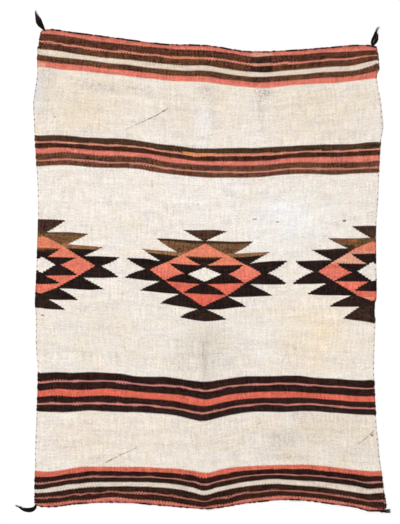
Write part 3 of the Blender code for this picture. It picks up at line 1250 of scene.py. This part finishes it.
def with_motifs(nodes, loom, field, colour):
    """The colour with the serrated diamonds laid over it."""
    share = nodes.span(loom.serrated, MOTIF_FOOT, MOTIF_HEAD)

    def by_height(colours, interpolation, patches=()):
        stops = [(motif_share(height), linear(shade)) for height, shade in colours]
        return with_patches(nodes, loom, nodes.ramp(share, stops, interpolation)[0], patches)

    for motif in MOTIFS:
        aside = loom.stepped - motif.axis
        on_right = aside > 0.0
        layers = (
            (teeth_outline, motif.outer, by_height(motif.outer_colours, "CONSTANT", motif.outer_patches)),
            (diamond_outline, motif.red, by_height(motif.red_colours, "LINEAR", motif.red_patches)),
            (teeth_outline, motif.inner, by_height(motif.inner_colours, "CONSTANT")),
            (diamond_outline, motif.eye, field),
        )
        for outline_of, form, shade in layers:
            left = nodes.curve(share, curve_points(outline_of(form, "left")))
            right = nodes.curve(share, curve_points(outline_of(form, "right")))
            reach = (left + (right - left) * on_right) * REACH
            colour = nodes.mix(abs(aside) < reach, colour, shade)
    return colour


def with_patches(nodes, loom, colour, patches):
    """The colour with soft oblong patches laid over it."""
    for patch in patches:
        aside, above, _ = nodes.split(nodes.local(loom.place, patch.middle, patch.half))
        far = nodes.math("MAXIMUM", abs(aside), abs(above))
        colour = nodes.mix(nodes.span(far, 1.12, 0.88, 0.0, patch.strength), colour, linear(patch.colour))
    return colour


def with_joins(nodes, loom, colour):
    """The colour with the thin broken lines of the slanting joins."""
    for join in JOINS:
        run_x, run_y = join.end[0] - join.start[0], join.end[1] - join.start[1]
        angle, length = math.atan2(run_y, run_x), math.hypot(run_x, run_y)
        place = nodes.local(loom.place, join.start, (length, JOIN_WIDTH), angle)
        along, aside, _ = nodes.split(place)
        bend = nodes.noise(nodes.vector(along * (length / JOIN_BEND), 7.0)) - 0.5
        near = nodes.span(abs(bend * 3.0 + aside), 1.2, 0.4)
        between = nodes.span(abs(along - 0.5), 0.52, 0.48)
        broken = nodes.span(nodes.noise(nodes.vector(along * (length / JOIN_BREAK), 0.0)), 0.36, 0.56)
        strength = nodes.span(along, 0.0, 1.0, join.at_start, join.at_end)
        colour = nodes.mix(near * between * broken * strength, colour, linear(JOIN_COLOUR))
    return colour


def soiled_and_crease_shaded(nodes, loom, colour):
    """The colour with grey soil, which sits in the ribs in short upright ticks, and painted shade in the
    same grey on the lower middle crease.
    """
    ticks = nodes.span(nodes.spots(loom.place, TICK_SIZE, 2.0, 0.6), 0.44, 0.64, 0.12, 1.0)
    soil_and_shade = 0.0
    for smudge in SOIL_AND_CREASE_SHADE:
        place = nodes.local(loom.place, smudge.middle, smudge.half)
        far = nodes.add("VectorMath", {0: place}, operation="LENGTH")["Value"]
        soil_and_shade = nodes.math("MAXIMUM", soil_and_shade, nodes.span(far, 1.3, 0.2, 0.0, smudge.strength))
    return nodes.mix(soil_and_shade * ticks, colour, linear(SOIL_AND_SHADE_GREY))


def uneven(nodes, loom, colour):
    """The colour as handspun yarn takes it: uneven from bead to bead and in clouds, and of drifting hue."""
    lightness = nodes.math("POWER", nodes.add("RGBToBW", {0: colour})[0], 0.7)
    coarse = nodes.span(nodes.spots(loom.place, COARSE_SIZE), 0.38, 0.64, 0.85, 1.25)
    depth = nodes.math("MINIMUM", UNEVEN / lightness, UNEVEN_MOST) * coarse

    place = nodes.vector(loom.warp, nodes.math("FLOOR", loom.pick))
    bead = Value(nodes, nodes.add("TexWhiteNoise", {"Vector": place}, noise_dimensions="3D")[0])
    light = (bead - 0.5) * (depth * BEAD_SHARE) + 1.0
    for grain in GRAINS:
        spots = nodes.spots(loom.place, (grain.wide, grain.tall), grain.detail, 0.6)
        light = light + (spots - 0.5) * (depth * grain.share)
    light = nodes.math("MAXIMUM", light, DARKEST)

    redder = (nodes.spots(loom.place, RED_SIZE) - 0.5) * (depth * RED_DRIFT)
    bluer = (nodes.spots(loom.place, BLUE_SIZE, 1.0) - 0.5) * (depth * BLUE_DRIFT)
    drifts = (redder + 1.0, 1.0 - (bluer * 0.4 + redder), bluer + 1.0)
    tint = nodes.vector(*(light * drift for drift in drifts))
    return nodes.mix(1.0, colour, tint, "MULTIPLY")


def wool_material():
    """Tapestry-woven wool: the pattern, uneven dye and yarn, and beads of weft over every warp."""
    nodes = Nodes("woven_wool")
    loom = read_loom(nodes)
    # the field's stains, with the painted light and shade of the middle crease
    field = nodes.add("Attribute", {}, attribute_name="Stains")["Color"]
    for blotch in BLOTCHES:
        clouds = nodes.span(nodes.spots(loom.place, blotch.sizes), 0.45, 0.72, 0.0, blotch.strength)
        field = nodes.mix(clouds, field, linear(blotch.colour))
    specks = nodes.span(nodes.spots(loom.place, SPECK_SIZE, 0.0), 0.78, 0.86, 0.0, 0.6)
    field = soiled_and_crease_shaded(nodes, loom, nodes.mix(specks, field, linear(SPECK)))

    colour = banded(nodes, loom, with_joins(nodes, loom, field))
    colour = with_patches(nodes, loom, colour, STRIPE_PATCHES)
    colour = with_motifs(nodes, loom, field, colour)
    colour = uneven(nodes, loom, with_patches(nodes, loom, colour, BURRS))

    hair = nodes.spots(loom.place, HAIR_SIZE, 3.0, 0.7)
    beads = abs(nodes.math("SINE", loom.pick * math.pi))
    return nodes.wool(colour, hair, 0.84, hair * 0.9 + beads, BEAD_BUMP, 0.7)


def yarn_material(name, dark, worn, red):
    """Spun yarn: plies along it, hairs, and its own shade, redness and greyness for each strand."""
    nodes = Nodes(name)
    place = nodes.add("Attribute", {}, attribute_name="Yarn")["Vector"]
    tone = nodes.add("Attribute", {}, attribute_name="Tone")["Color"]
    light, redness, greyness = nodes.add("SeparateColor", {0: tone})
    fleck = nodes.span(nodes.spots(place, PLY_SIZES, 3.0, 0.6), 0.35, 0.75)
    colour = nodes.mix(fleck, linear(dark), linear(worn))
    colour = nodes.mix(redness, colour, linear(red))
    colour = nodes.mix(greyness, colour, linear(GREYED))
    colour = nodes.mix(1.0, colour, nodes.vector(light, light, light), "MULTIPLY")
    hair = nodes.spots(place, YARN_HAIR_SIZES, 3.0, 0.7)
    return nodes.wool(colour, hair, 0.82, hair, HAIR_BUMP, 0.8)


def table_shift(web):
    """How far the part's frame lies from the tables', found on the top right corner of the cloth."""
    corners = np.array([vertex.co.xy for vertex in web.data.vertices]) / MM
    corner = corners[np.argmax(corners.sum(1))]
    x, y = on_table(RIGHT_WARP, HEIGHTS[-1])
    return np.array((corner[0] - x, corner[1] - y, 0.0))


def new_object(name, data):
    """A new object in the scene."""
    made = bpy.data.objects.new(name, data)
    bpy.context.collection.objects.link(made)
    return made


def new_piece(name, points, faces, material, replaced=()):
    """A smooth object from points in the tables' frame, which rides on the part's body."""
    mesh = bpy.data.meshes.new(name)
    mesh.from_pydata(((np.asarray(points, float) + SHIFT) * MM).tolist(), [], faces)
    mesh.shade_smooth()
    mesh.materials.append(material)
    piece = new_object(name, mesh)
    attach(piece, BODY)
    if replaced:
        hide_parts(*replaced)
    return piece


def set_map(piece, name, places):
    """Adds a UV map from places in the order of the mesh's corners."""
    layer = piece.data.uv_layers.new(name=name)
    layer.data.foreach_set("uv", np.asarray(places, np.float32).ravel())


def set_colours(piece, name, colours):
    """Gives every point of a piece a colour, under a name that its material reads."""
    layer = piece.data.attributes.new(name, "FLOAT_COLOR", "POINT")
    layer.data.foreach_set("color", np.hstack([colours, np.ones((len(colours), 1))]).ravel())


def field_with_stains_and_crease_shading(x, y):
    """The field's colour at points, with its stains and the painted light and shade of the middle crease.
    """
    colour = np.tile(np.array(FIELD, float), (x.size, 1))
    for field_spot in STAINS_AND_CREASE_SHADING:
        (middle_x, middle_y), (half_x, half_y) = field_spot.middle, field_spot.half
        far = ((x.ravel() - middle_x) / half_x) ** 2 + ((y.ravel() - middle_y) / half_y) ** 2
        share = field_spot.strength * np.exp(-(far**1.3))[:, None]
        colour += share * (np.array(field_spot.colour) - colour)
    return brightness(colour)


def row_heights():
    """Heights of the mesh's rows, with one on every weft that the tables name."""
    rows = [HEIGHTS[0]]
    for low, high in zip(HEIGHTS, HEIGHTS[1:]):
        count = max(round((high - low) / ROW), 1)
        rows += [low + (high - low) * (k + 1) / count for k in range(count)]
    return np.array(rows)


def web_cloth(material):
    """The woven cloth: a rib over every warp on both faces, on the folds of its solid."""
    across = LEFT_WARP + WARP_PITCH / 2 * np.arange(2 * WARPS + 1)
    grid_across, grid_height = np.meshgrid(across, row_heights())
    count = grid_across.size
    x, y = on_table(grid_across, grid_height)
    z = surface(x, y)
    valley = np.where(np.arange(across.size) % 2 == 0, RIB_DEPTH, 0.0)[None, :]
    under = np.stack([x, y, z + valley], 2).reshape(-1, 3)
    face = np.stack([x, y, z + WEB_THICKNESS - valley], 2).reshape(-1, 3)

    numbers = np.arange(count).reshape(x.shape)
    corners = (numbers[:-1, :-1], numbers[:-1, 1:], numbers[1:, 1:], numbers[1:, :-1])
    quads = np.stack([corner.ravel() for corner in corners], 1)
    rim = np.concatenate([numbers[0, :-1], numbers[:-1, -1], numbers[-1, :0:-1], numbers[:0:-1, 0]])
    ahead = np.roll(rim, -1)
    rim_faces = np.stack([rim, ahead, ahead + count, rim + count], 1)
    faces = np.concatenate([quads[:, ::-1], quads + count, rim_faces])
    points = np.concatenate([under, face])
    piece = new_piece("web_cloth", points, faces.tolist(), material, ["web"])

    loops = faces.ravel()
    loom_map = np.stack([grid_across.ravel(), grid_height.ravel()], 1)
    set_map(piece, "Loom", loom_map[loops % count])
    set_map(piece, "OFBake", bake_map(x.ravel(), y.ravel(), loops, len(rim_faces)))
    set_colours(piece, "Stains", np.tile(field_with_stains_and_crease_shading(x, y), (2, 1)))
    return piece


def bake_map(x, y, loops, rim_count):
    """The map for baking: the face large on the left, the underside and the rim narrow on the right."""
    margin, border, face_share = 0.006, 0.004, 0.71
    across = (x - x.min()) / (x.max() - x.min())
    height = 2 * margin + (y - y.min()) / (y.max() - y.min()) * (1 - 4 * margin)
    face = np.stack([margin + across * (face_share - 2 * margin), height], 1)
    under = np.stack([face_share + margin + across * (1 - face_share - 3 * margin), height], 1)
    outward = under + np.sign(under - under.mean(0)) * border
    places = np.concatenate([under, face])[loops]
    on_rim = loops[-4 * rim_count :]
    is_face = (on_rim >= x.size)[:, None]
    places[-4 * rim_count :] = np.where(is_face, outward[on_rim % x.size], under[on_rim % x.size])
    return places


def tube_faces(first, rings, sides, flipped=False):
    """Faces of a closed tube of rings of points, from the number of its first point on."""
    faces = []
    for low in range(first, first + (rings - 1) * sides, sides):
        for s in range(sides):
            n = (s + 1) % sides
            face = (low + s, low + n, low + sides + n, low + sides + s)
            faces.append((face[0], face[3], face[2], face[1]) if flipped else face)
    last = first + (rings - 1) * sides
    start, stop = tuple(range(first, first + sides)), tuple(range(last, last + sides))
    return faces + ([start, stop[::-1]] if flipped else [start[::-1], stop])


class Strands:
    """Points and faces of round strands as they are collected for one piece."""

    def __init__(self):
        self.points, self.faces, self.yarn, self.tones = [], [], [], []

    def tube(self, line, radii, sides, tone=(1.0, 0.0, 0.0)):
        """A closed tube along a line. Its tone, or that of each point, is light, redness and greyness."""
        line = np.asarray(line, float)
        count = len(line)
        radii = np.broadcast_to(radii, count)
        tones = np.broadcast_to(np.asarray(tone, float), (count, 3))
        ahead, along = directions(line), reached(line)
        normal = np.array((0.0, 0.0, 1.0)) if abs(ahead[0][2]) < 0.9 else np.array((1.0, 0.0, 0.0))
        angles = 2 * math.pi * np.arange(sides) / sides
        round_x, round_y = np.cos(angles)[:, None], np.sin(angles)[:, None]
        self.faces += tube_faces(len(self.points), count, sides)
        for k in range(count):
            normal = normal - ahead[k] * normal.dot(ahead[k])
            normal /= np.linalg.norm(normal)
            other = np.cross(ahead[k], normal)
            ring = line[k] + radii[k] * (round_x * normal + round_y * other)
            self.points += ring.tolist()
            round_yarn = zip(round_x[:, 0] * radii[k], round_y[:, 0] * radii[k])
            self.yarn += [(along[k], a, b) for a, b in round_yarn]
            self.tones += [tones[k]] * sides

    def piece(self, name, material, slot, replaced=()):
        """The piece made of all strands so far."""
        made = new_piece(name, self.points, self.faces, material, replaced)
        yarn = made.data.attributes.new("Yarn", "FLOAT_VECTOR", "POINT")
        yarn.data.foreach_set("vector", np.array(self.yarn, np.float32).ravel())
        set_colours(made, "Tone", np.array(self.tones))
        return made


def edge_line(edge, step, offset):
    """Points along an edge of the cloth a step apart: places on the loom, and beside it on the table.

    The cloth is on the left hand. The points beside it lie off by an offset, outwards.
    """
    low, high = HEIGHTS[0], HEIGHTS[-1]
    ends = {
        "bottom": ((LEFT_WARP, low), (RIGHT_WARP, low)),
        "top": ((RIGHT_WARP, high), (LEFT_WARP, high)),
        "right": ((RIGHT_WARP, low), (RIGHT_WARP, high)),
        "left": ((LEFT_WARP, high), (LEFT_WARP, low)),
    }
    start, stop = np.array(ends[edge])
    loom = start + np.linspace(0, 1, 2000)[:, None] * (stop - start)
    table = np.stack(on_table(loom[:, 0], loom[:, 1]), 1)
    along = reached(table)
    places = np.arange(0, along[-1], step)
    loom, table = (np.stack([np.interp(places, along, c) for c in line.T], 1) for line in (loom, table))
    ahead = directions(table)
    outward = np.stack([ahead[:, 1], -ahead[:, 0]], 1)
    return places, loom, table, table + offset * outward, outward


def twisted_cord(name, edge, kind, tone_of, material):
    """Two strands twisted around each other, beside an edge of the cloth."""
    places, _, _, middle, outward = edge_line(edge, kind.turn / 12, kind.offset)
    sway = [kind.sway * noise.noise(Vector((x / 21, y / 300, 2.0))) for x, y in middle]
    middle = middle + outward * np.array(sway)[:, None]
    strands = Strands()
    for number in (0, 1):
        turned = 2 * math.pi * places / kind.turn + number * math.pi
        radii, tone = tone_of(number, middle)
        height = surface(middle[:, 0], middle[:, 1]) + (kind.strand + kind.lift) * radii
        swing = kind.strand * radii * np.cos(turned)
        rise = kind.lift * radii * np.sin(turned)
        points = np.column_stack([middle + outward * swing[:, None], height + rise])
        strands.tube(points, kind.strand * radii, 7, tone)
    return strands.piece(name, material, "selvage_cord", [f"{kind.name}_{edge}"])


def end_tone(wear):
    """Thickness and shades along an end cord: near black, and worn here and there to the red beneath."""

    def tone_of(_, points):
        long_runs = [noise.noise(Vector((x / 62, wear.seed, 0.0))) for x in points[:, 0]]
        short_runs = [noise.noise(Vector((x / 13, wear.seed + 5.0, 0.0))) for x in points[:, 0]]
        worn = smooth_step(1.5 * np.array(long_runs) + 1.9 * np.array(short_runs) + wear.bias)
        worn = np.where(points[:, 0] > wear.kept_from, 0.5 * worn, worn)
        return 1.4 - 0.5 * worn, np.column_stack([0.35 + 0.65 * worn, 0.97 * worn, 0 * worn])

    return tone_of


def side_tone(number, points):
    """Thickness and shades along a side cord: near black, greyed where it rubs."""
    light = 1 + 0.2 * np.sin(points[:, 1] / 40 + number)
    grey = 0.08 + 0.08 * np.sin(points[:, 1] / 130)
    return np.ones(len(light)), np.column_stack([light, np.full(len(light), 0.03), grey])


def dark_nub(height):
    """How far dark stripes bulge out at the sides, at heights on the loom."""
    spans = [span for band in BANDS for span in stripe_spans(band) if max(span[2]) < DARK_BELOW]
    inset = [np.minimum(height - low, high - height) for low, high, _ in spans]
    return NUB * smooth_step(np.max(inset, axis=0) / NUB_RISE)


def weft_turns(name, edge, bare, material):
    """The wefts' turns around a side cord, bead by bead, with the cord showing where its strands cross."""
    rings_a_bead, sides = 4, 9
    places, loom, table, middle, outward = edge_line(edge, TURN_PITCH / rings_a_bead, SIDE_KIND.offset)
    height = surface(middle[:, 0], middle[:, 1]) + WEB_THICKNESS / 2
    rng = random.Random(edge)
    angles = 2 * math.pi * np.arange(sides) / sides
    half_turn = SIDE_KIND.turn / 2
    run_number = np.floor(places / half_turn - 0.25)
    nub = dark_nub(loom[:, 1])
    points, faces, chosen_loom = [], [], []
    for number in sorted(set(run_number)):
        gap = RUN_GAP * rng.uniform(0.5, 1.3)
        start = (number + 0.25) * half_turn
        stop = start + half_turn - gap
        reach = TURN_REACH + rng.uniform(-0.15, 0.3)
        inside_run = (run_number == number) & (places < stop)
        for low, high in bare:
            inside_run &= (table[:, 1] < low) | (table[:, 1] > high)
        chosen = np.flatnonzero(inside_run)
        if len(chosen) < 3:
            continue
        faces += tube_faces(len(points), len(chosen), sides, flipped=True)
        for k in chosen:
            past = min(places[k] - start, stop - places[k])
            swell = 1 + BEAD_SWELL * math.cos(2 * math.pi * places[k] / TURN_PITCH)
            bead = smooth_step((past + 0.9) / 2.4) * swell
            for angle in angles:
                x, y = middle[k] + outward[k] * (reach + nub[k]) * bead * math.cos(angle)
                points.append((x, y, height[k] + TURN_RISE * bead * math.sin(angle)))
                chosen_loom.append(loom[k])
    piece = new_piece(name, points, faces, material)
    loops = np.concatenate([np.array(face) for face in faces])
    set_map(piece, "Loom", np.array(chosen_loom)[loops])
    x, y, _ = np.array(points).T
    set_colours(piece, "Stains", field_with_stains_and_crease_shading(x, y))
    return piece


def route_reader(route):
    """A reader of the smooth curve through a route's points, and its length."""
    along = reached(route)
    read_x, read_y = (smooth_curve(list(zip(along, values))) for values in zip(*route))
    return lambda at: np.stack([read_x(at), read_y(at)], -1), along[-1]


def aside_of(read, at):
    """Directions to the right of a route."""
    ahead = read(at + 0.5) - read(at - 0.5)
    ahead = ahead / np.maximum(np.linalg.norm(ahead, axis=-1)[..., None], 1e-6)
    return np.stack([ahead[..., 1], -ahead[..., 0]], -1)


def bundle_width(tassel, share):
    """How wide a tassel's bundle is at shares of its length."""
    root, widest, tip = tassel.widths
    past = (share - tassel.widest_at) / max(1 - tassel.widest_at, 0.01)
    rising = root + (widest - root) * smooth_step(share / tassel.widest_at)
    return np.where(share < tassel.widest_at, rising, widest + (tip - widest) * smooth_step(past))


def knot(strands, tassel, read):
    """An overhand knot, the shape of a trefoil, pulled tight around the yarn."""
    turns = np.linspace(0, 2 * math.pi, 90)
    lobe = 2 + np.cos(3 * turns)
    along = (0.5 + 0.5 * lobe * np.cos(2 * turns) / 3) * tassel.knot_length
    aside = lobe * np.sin(2 * turns) / 3 * (tassel.knot_width / 2 - 1.2)
    height = KNOT_HEIGHT / 2 + np.sin(3 * turns) * (KNOT_HEIGHT / 2 - 1.5)
    points = np.column_stack([read(along) + aside_of(read, along) * aside[:, None], height])
    strands.tube(points, KNOT_CORD, 8, (1.1, 0.03, 0.0))
    core = read(np.linspace(0.5, tassel.knot_length + 1.5, 8))
    core = np.column_stack([core, np.full(8, KNOT_HEIGHT / 2 - 0.4)])
    strands.tube(core, tassel.knot_width / 3.2, 9, (0.8, 0.0, 0.0))


def bundled_yarns(strands, tassel, read, length, rng):
    """The yarns of a tassel, side by side and in layers."""
    rings = 14
    for _ in range(YARNS):
        place = rng.uniform(-1, 1)
        place = math.copysign(abs(place) ** 0.8, place)
        reach = np.interp((place + 1) / 2, np.linspace(0, 1, len(tassel.tips)), tassel.tips)
        stop = length * reach * rng.uniform(0.82, 1.0)
        at = np.linspace(tassel.knot_length - 1.0, stop, rings)
        share, past_knot = at / length, at - tassel.knot_length
        spread = place * (bundle_width(tassel, share) / 2 - YARN_RADIUS)
        wave = 0.7 * np.sin(at / rng.uniform(5, 9) + rng.uniform(0, 6))
        spread = spread + wave * smooth_step(past_knot / 10)
        top = rng.uniform(0, 1) ** 1.5 * (1 - abs(place) * 0.6)
        height = YARN_RADIUS + top * 3.2 * (1 - 0.5 * smooth_step(share))
        height = height + 2.0 * (1 - smooth_step(past_knot / 9))
        points = np.column_stack([read(at) + aside_of(read, at) * spread[:, None], height])
        radius = YARN_RADIUS * rng.uniform(0.8, 1.1) * (1 - 0.55 * smooth_step((share / reach - 0.75) * 4))
        grey = tassel.greyed * smooth_step((share - 0.45) * 2.2) * rng.uniform(0.2, 1.0)
        light = rng.uniform(0.45, 1.15)
        tones = np.column_stack([np.full(rings, light), np.full(rings, rng.uniform(0, 0.06)), grey])
        strands.tube(points, radius, 6, tones)


def loose_hairs(strands, tassel, read, length, rng):
    """The hairs around the yarns of a tassel."""
    for number in range(FIBRES):
        start = rng.uniform(tassel.knot_length, length * 0.97)
        span = rng.uniform(4, 11)
        at = np.linspace(start, start + span, 6)
        side = rng.uniform(-1, 1)
        spread = side * bundle_width(tassel, np.minimum(at / length, 1)) / 2
        flare = rng.uniform(-1.4, 1.4) * (at - start) / span + 0.5 * np.sin(at / 2 + number)
        height = 0.4 + rng.uniform(0, 3.5) * (1 - abs(side) * 0.6) + 0.3 * np.sin(at / 1.7)
        aside = aside_of(read, np.minimum(at, length - 1))
        ahead = np.stack([-aside[:, 1], aside[:, 0]], -1) * np.maximum(at - length, 0)[:, None] * 0.6
        places = read(at) + ahead + aside * (spread + flare)[:, None]
        points = np.column_stack([places, np.maximum(height, 0.2)])
        grey = tassel.greyed * rng.uniform(0.3, 1.0)
        strands.tube(points, FIBRE_RADIUS, 3, (rng.uniform(0.8, 1.8), 0.0, 0.5 * grey))


def tassel_piece(tassel, material):
    """A tassel: its knot, its yarns and their loose hairs."""
    rng = random.Random(tassel.name)
    read, length = route_reader(tassel.route)
    strands = Strands()
    knot(strands, tassel, read)
    bundled_yarns(strands, tassel, read, length, rng)
    loose_hairs(strands, tassel, read, length, rng)
    return strands.piece(tassel.name + "_yarn", material, "tassel_yarn", [tassel.name])


def floor():
    """A plain pale floor, just under the cloth."""
    mesh = bpy.data.meshes.new("floor")
    signs = [(-1, -1), (1, -1), (1, 1), (-1, 1)]
    corners = [(x * FLOOR_HALF, y * FLOOR_HALF, -FLOOR_DROP) for x, y in signs]
    mesh.from_pydata(corners, [], [(0, 1, 2, 3)])
    nodes = Nodes("floor_paper")
    grain = nodes.spots(nodes.add("TexCoord", {})["Object"], FLOOR_GRAIN, 4.0)
    looks = {
        "Base Color": nodes.mix(grain, FLOOR_DARK, FLOOR_LIGHT),
        "Roughness": nodes.span(grain, 0.3, 0.7, 0.9, 1.0),
        "Specular IOR Level": 0.0,
    }
    mesh.materials.append(nodes.dress(looks))
    made = new_object("floor", mesh)


def area_light(lamp):
    """A soft square light that the camera doesn't see, aimed at the middle of the part."""
    light = bpy.data.lights.new(lamp.name, "AREA")
    light.shape = "SQUARE"
    light.size = lamp.size
    light.energy = lamp.power
    made = new_object(lamp.name, light)
    made.location = lamp.place
    made.rotation_euler = (-Vector(lamp.place)).to_track_quat("-Z", "Y").to_euler()
    made.visible_camera = False


def studio():
    """Camera straight above, a large soft light from the upper left, and pale light all around."""
    camera = bpy.data.cameras.new("camera")
    camera.sensor_width = SENSOR
    camera.lens = SENSOR * CAMERA_HEIGHT / VIEW_LENGTH
    camera.clip_end = 500.0
    made = new_object("camera", camera)
    made.location = (*((np.array((CAMERA_X, CAMERA_Y)) + SHIFT[:2]) * MM), CAMERA_HEIGHT)

    for lamp in LAMPS:
        area_light(lamp)
    world = bpy.data.worlds.new("studio")
    world.use_nodes = True
    background = world.node_tree.nodes["Background"]
    background.inputs["Color"].default_value = (1.0, 1.0, 1.0, 1.0)
    background.inputs["Strength"].default_value = SKY_STRENGTH
    scene = bpy.context.scene
    scene.camera = made
    scene.world = world
    scene.view_settings.view_transform = "Standard"
    scene.view_settings.look = "None"


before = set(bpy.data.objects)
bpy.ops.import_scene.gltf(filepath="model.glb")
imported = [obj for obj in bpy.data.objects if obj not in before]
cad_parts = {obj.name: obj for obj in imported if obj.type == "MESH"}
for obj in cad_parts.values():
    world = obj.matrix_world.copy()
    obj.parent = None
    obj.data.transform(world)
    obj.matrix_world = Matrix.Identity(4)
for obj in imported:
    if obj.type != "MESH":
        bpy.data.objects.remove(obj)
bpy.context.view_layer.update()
SHIFT = table_shift(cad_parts["web"])

studio()
floor()

wool = wool_material()
cord_wool = yarn_material("selvage_cord", dark=(30, 20, 18), worn=(62, 42, 36), red=(196, 92, 78))
tassel_wool = yarn_material("tassel_yarn", dark=(8, 6, 7), worn=(25, 20, 20), red=(120, 50, 44))

cloth = web_cloth(wool)
trimmings = [
    twisted_cord("cord_top", "top", END_KIND, end_tone(TOP_WEAR), cord_wool),
    twisted_cord("cord_bottom", "bottom", END_KIND, end_tone(BOTTOM_WEAR), cord_wool),
    twisted_cord("cord_left", "left", SIDE_KIND, side_tone, cord_wool),
    twisted_cord("cord_right", "right", SIDE_KIND, side_tone, cord_wool),
    weft_turns("weft_turns_left", "left", BARE_LEFT, wool),
    weft_turns("weft_turns_right", "right", BARE_RIGHT, wool),
]
trimmings += [tassel_piece(tassel, tassel_wool) for tassel in TASSELS]
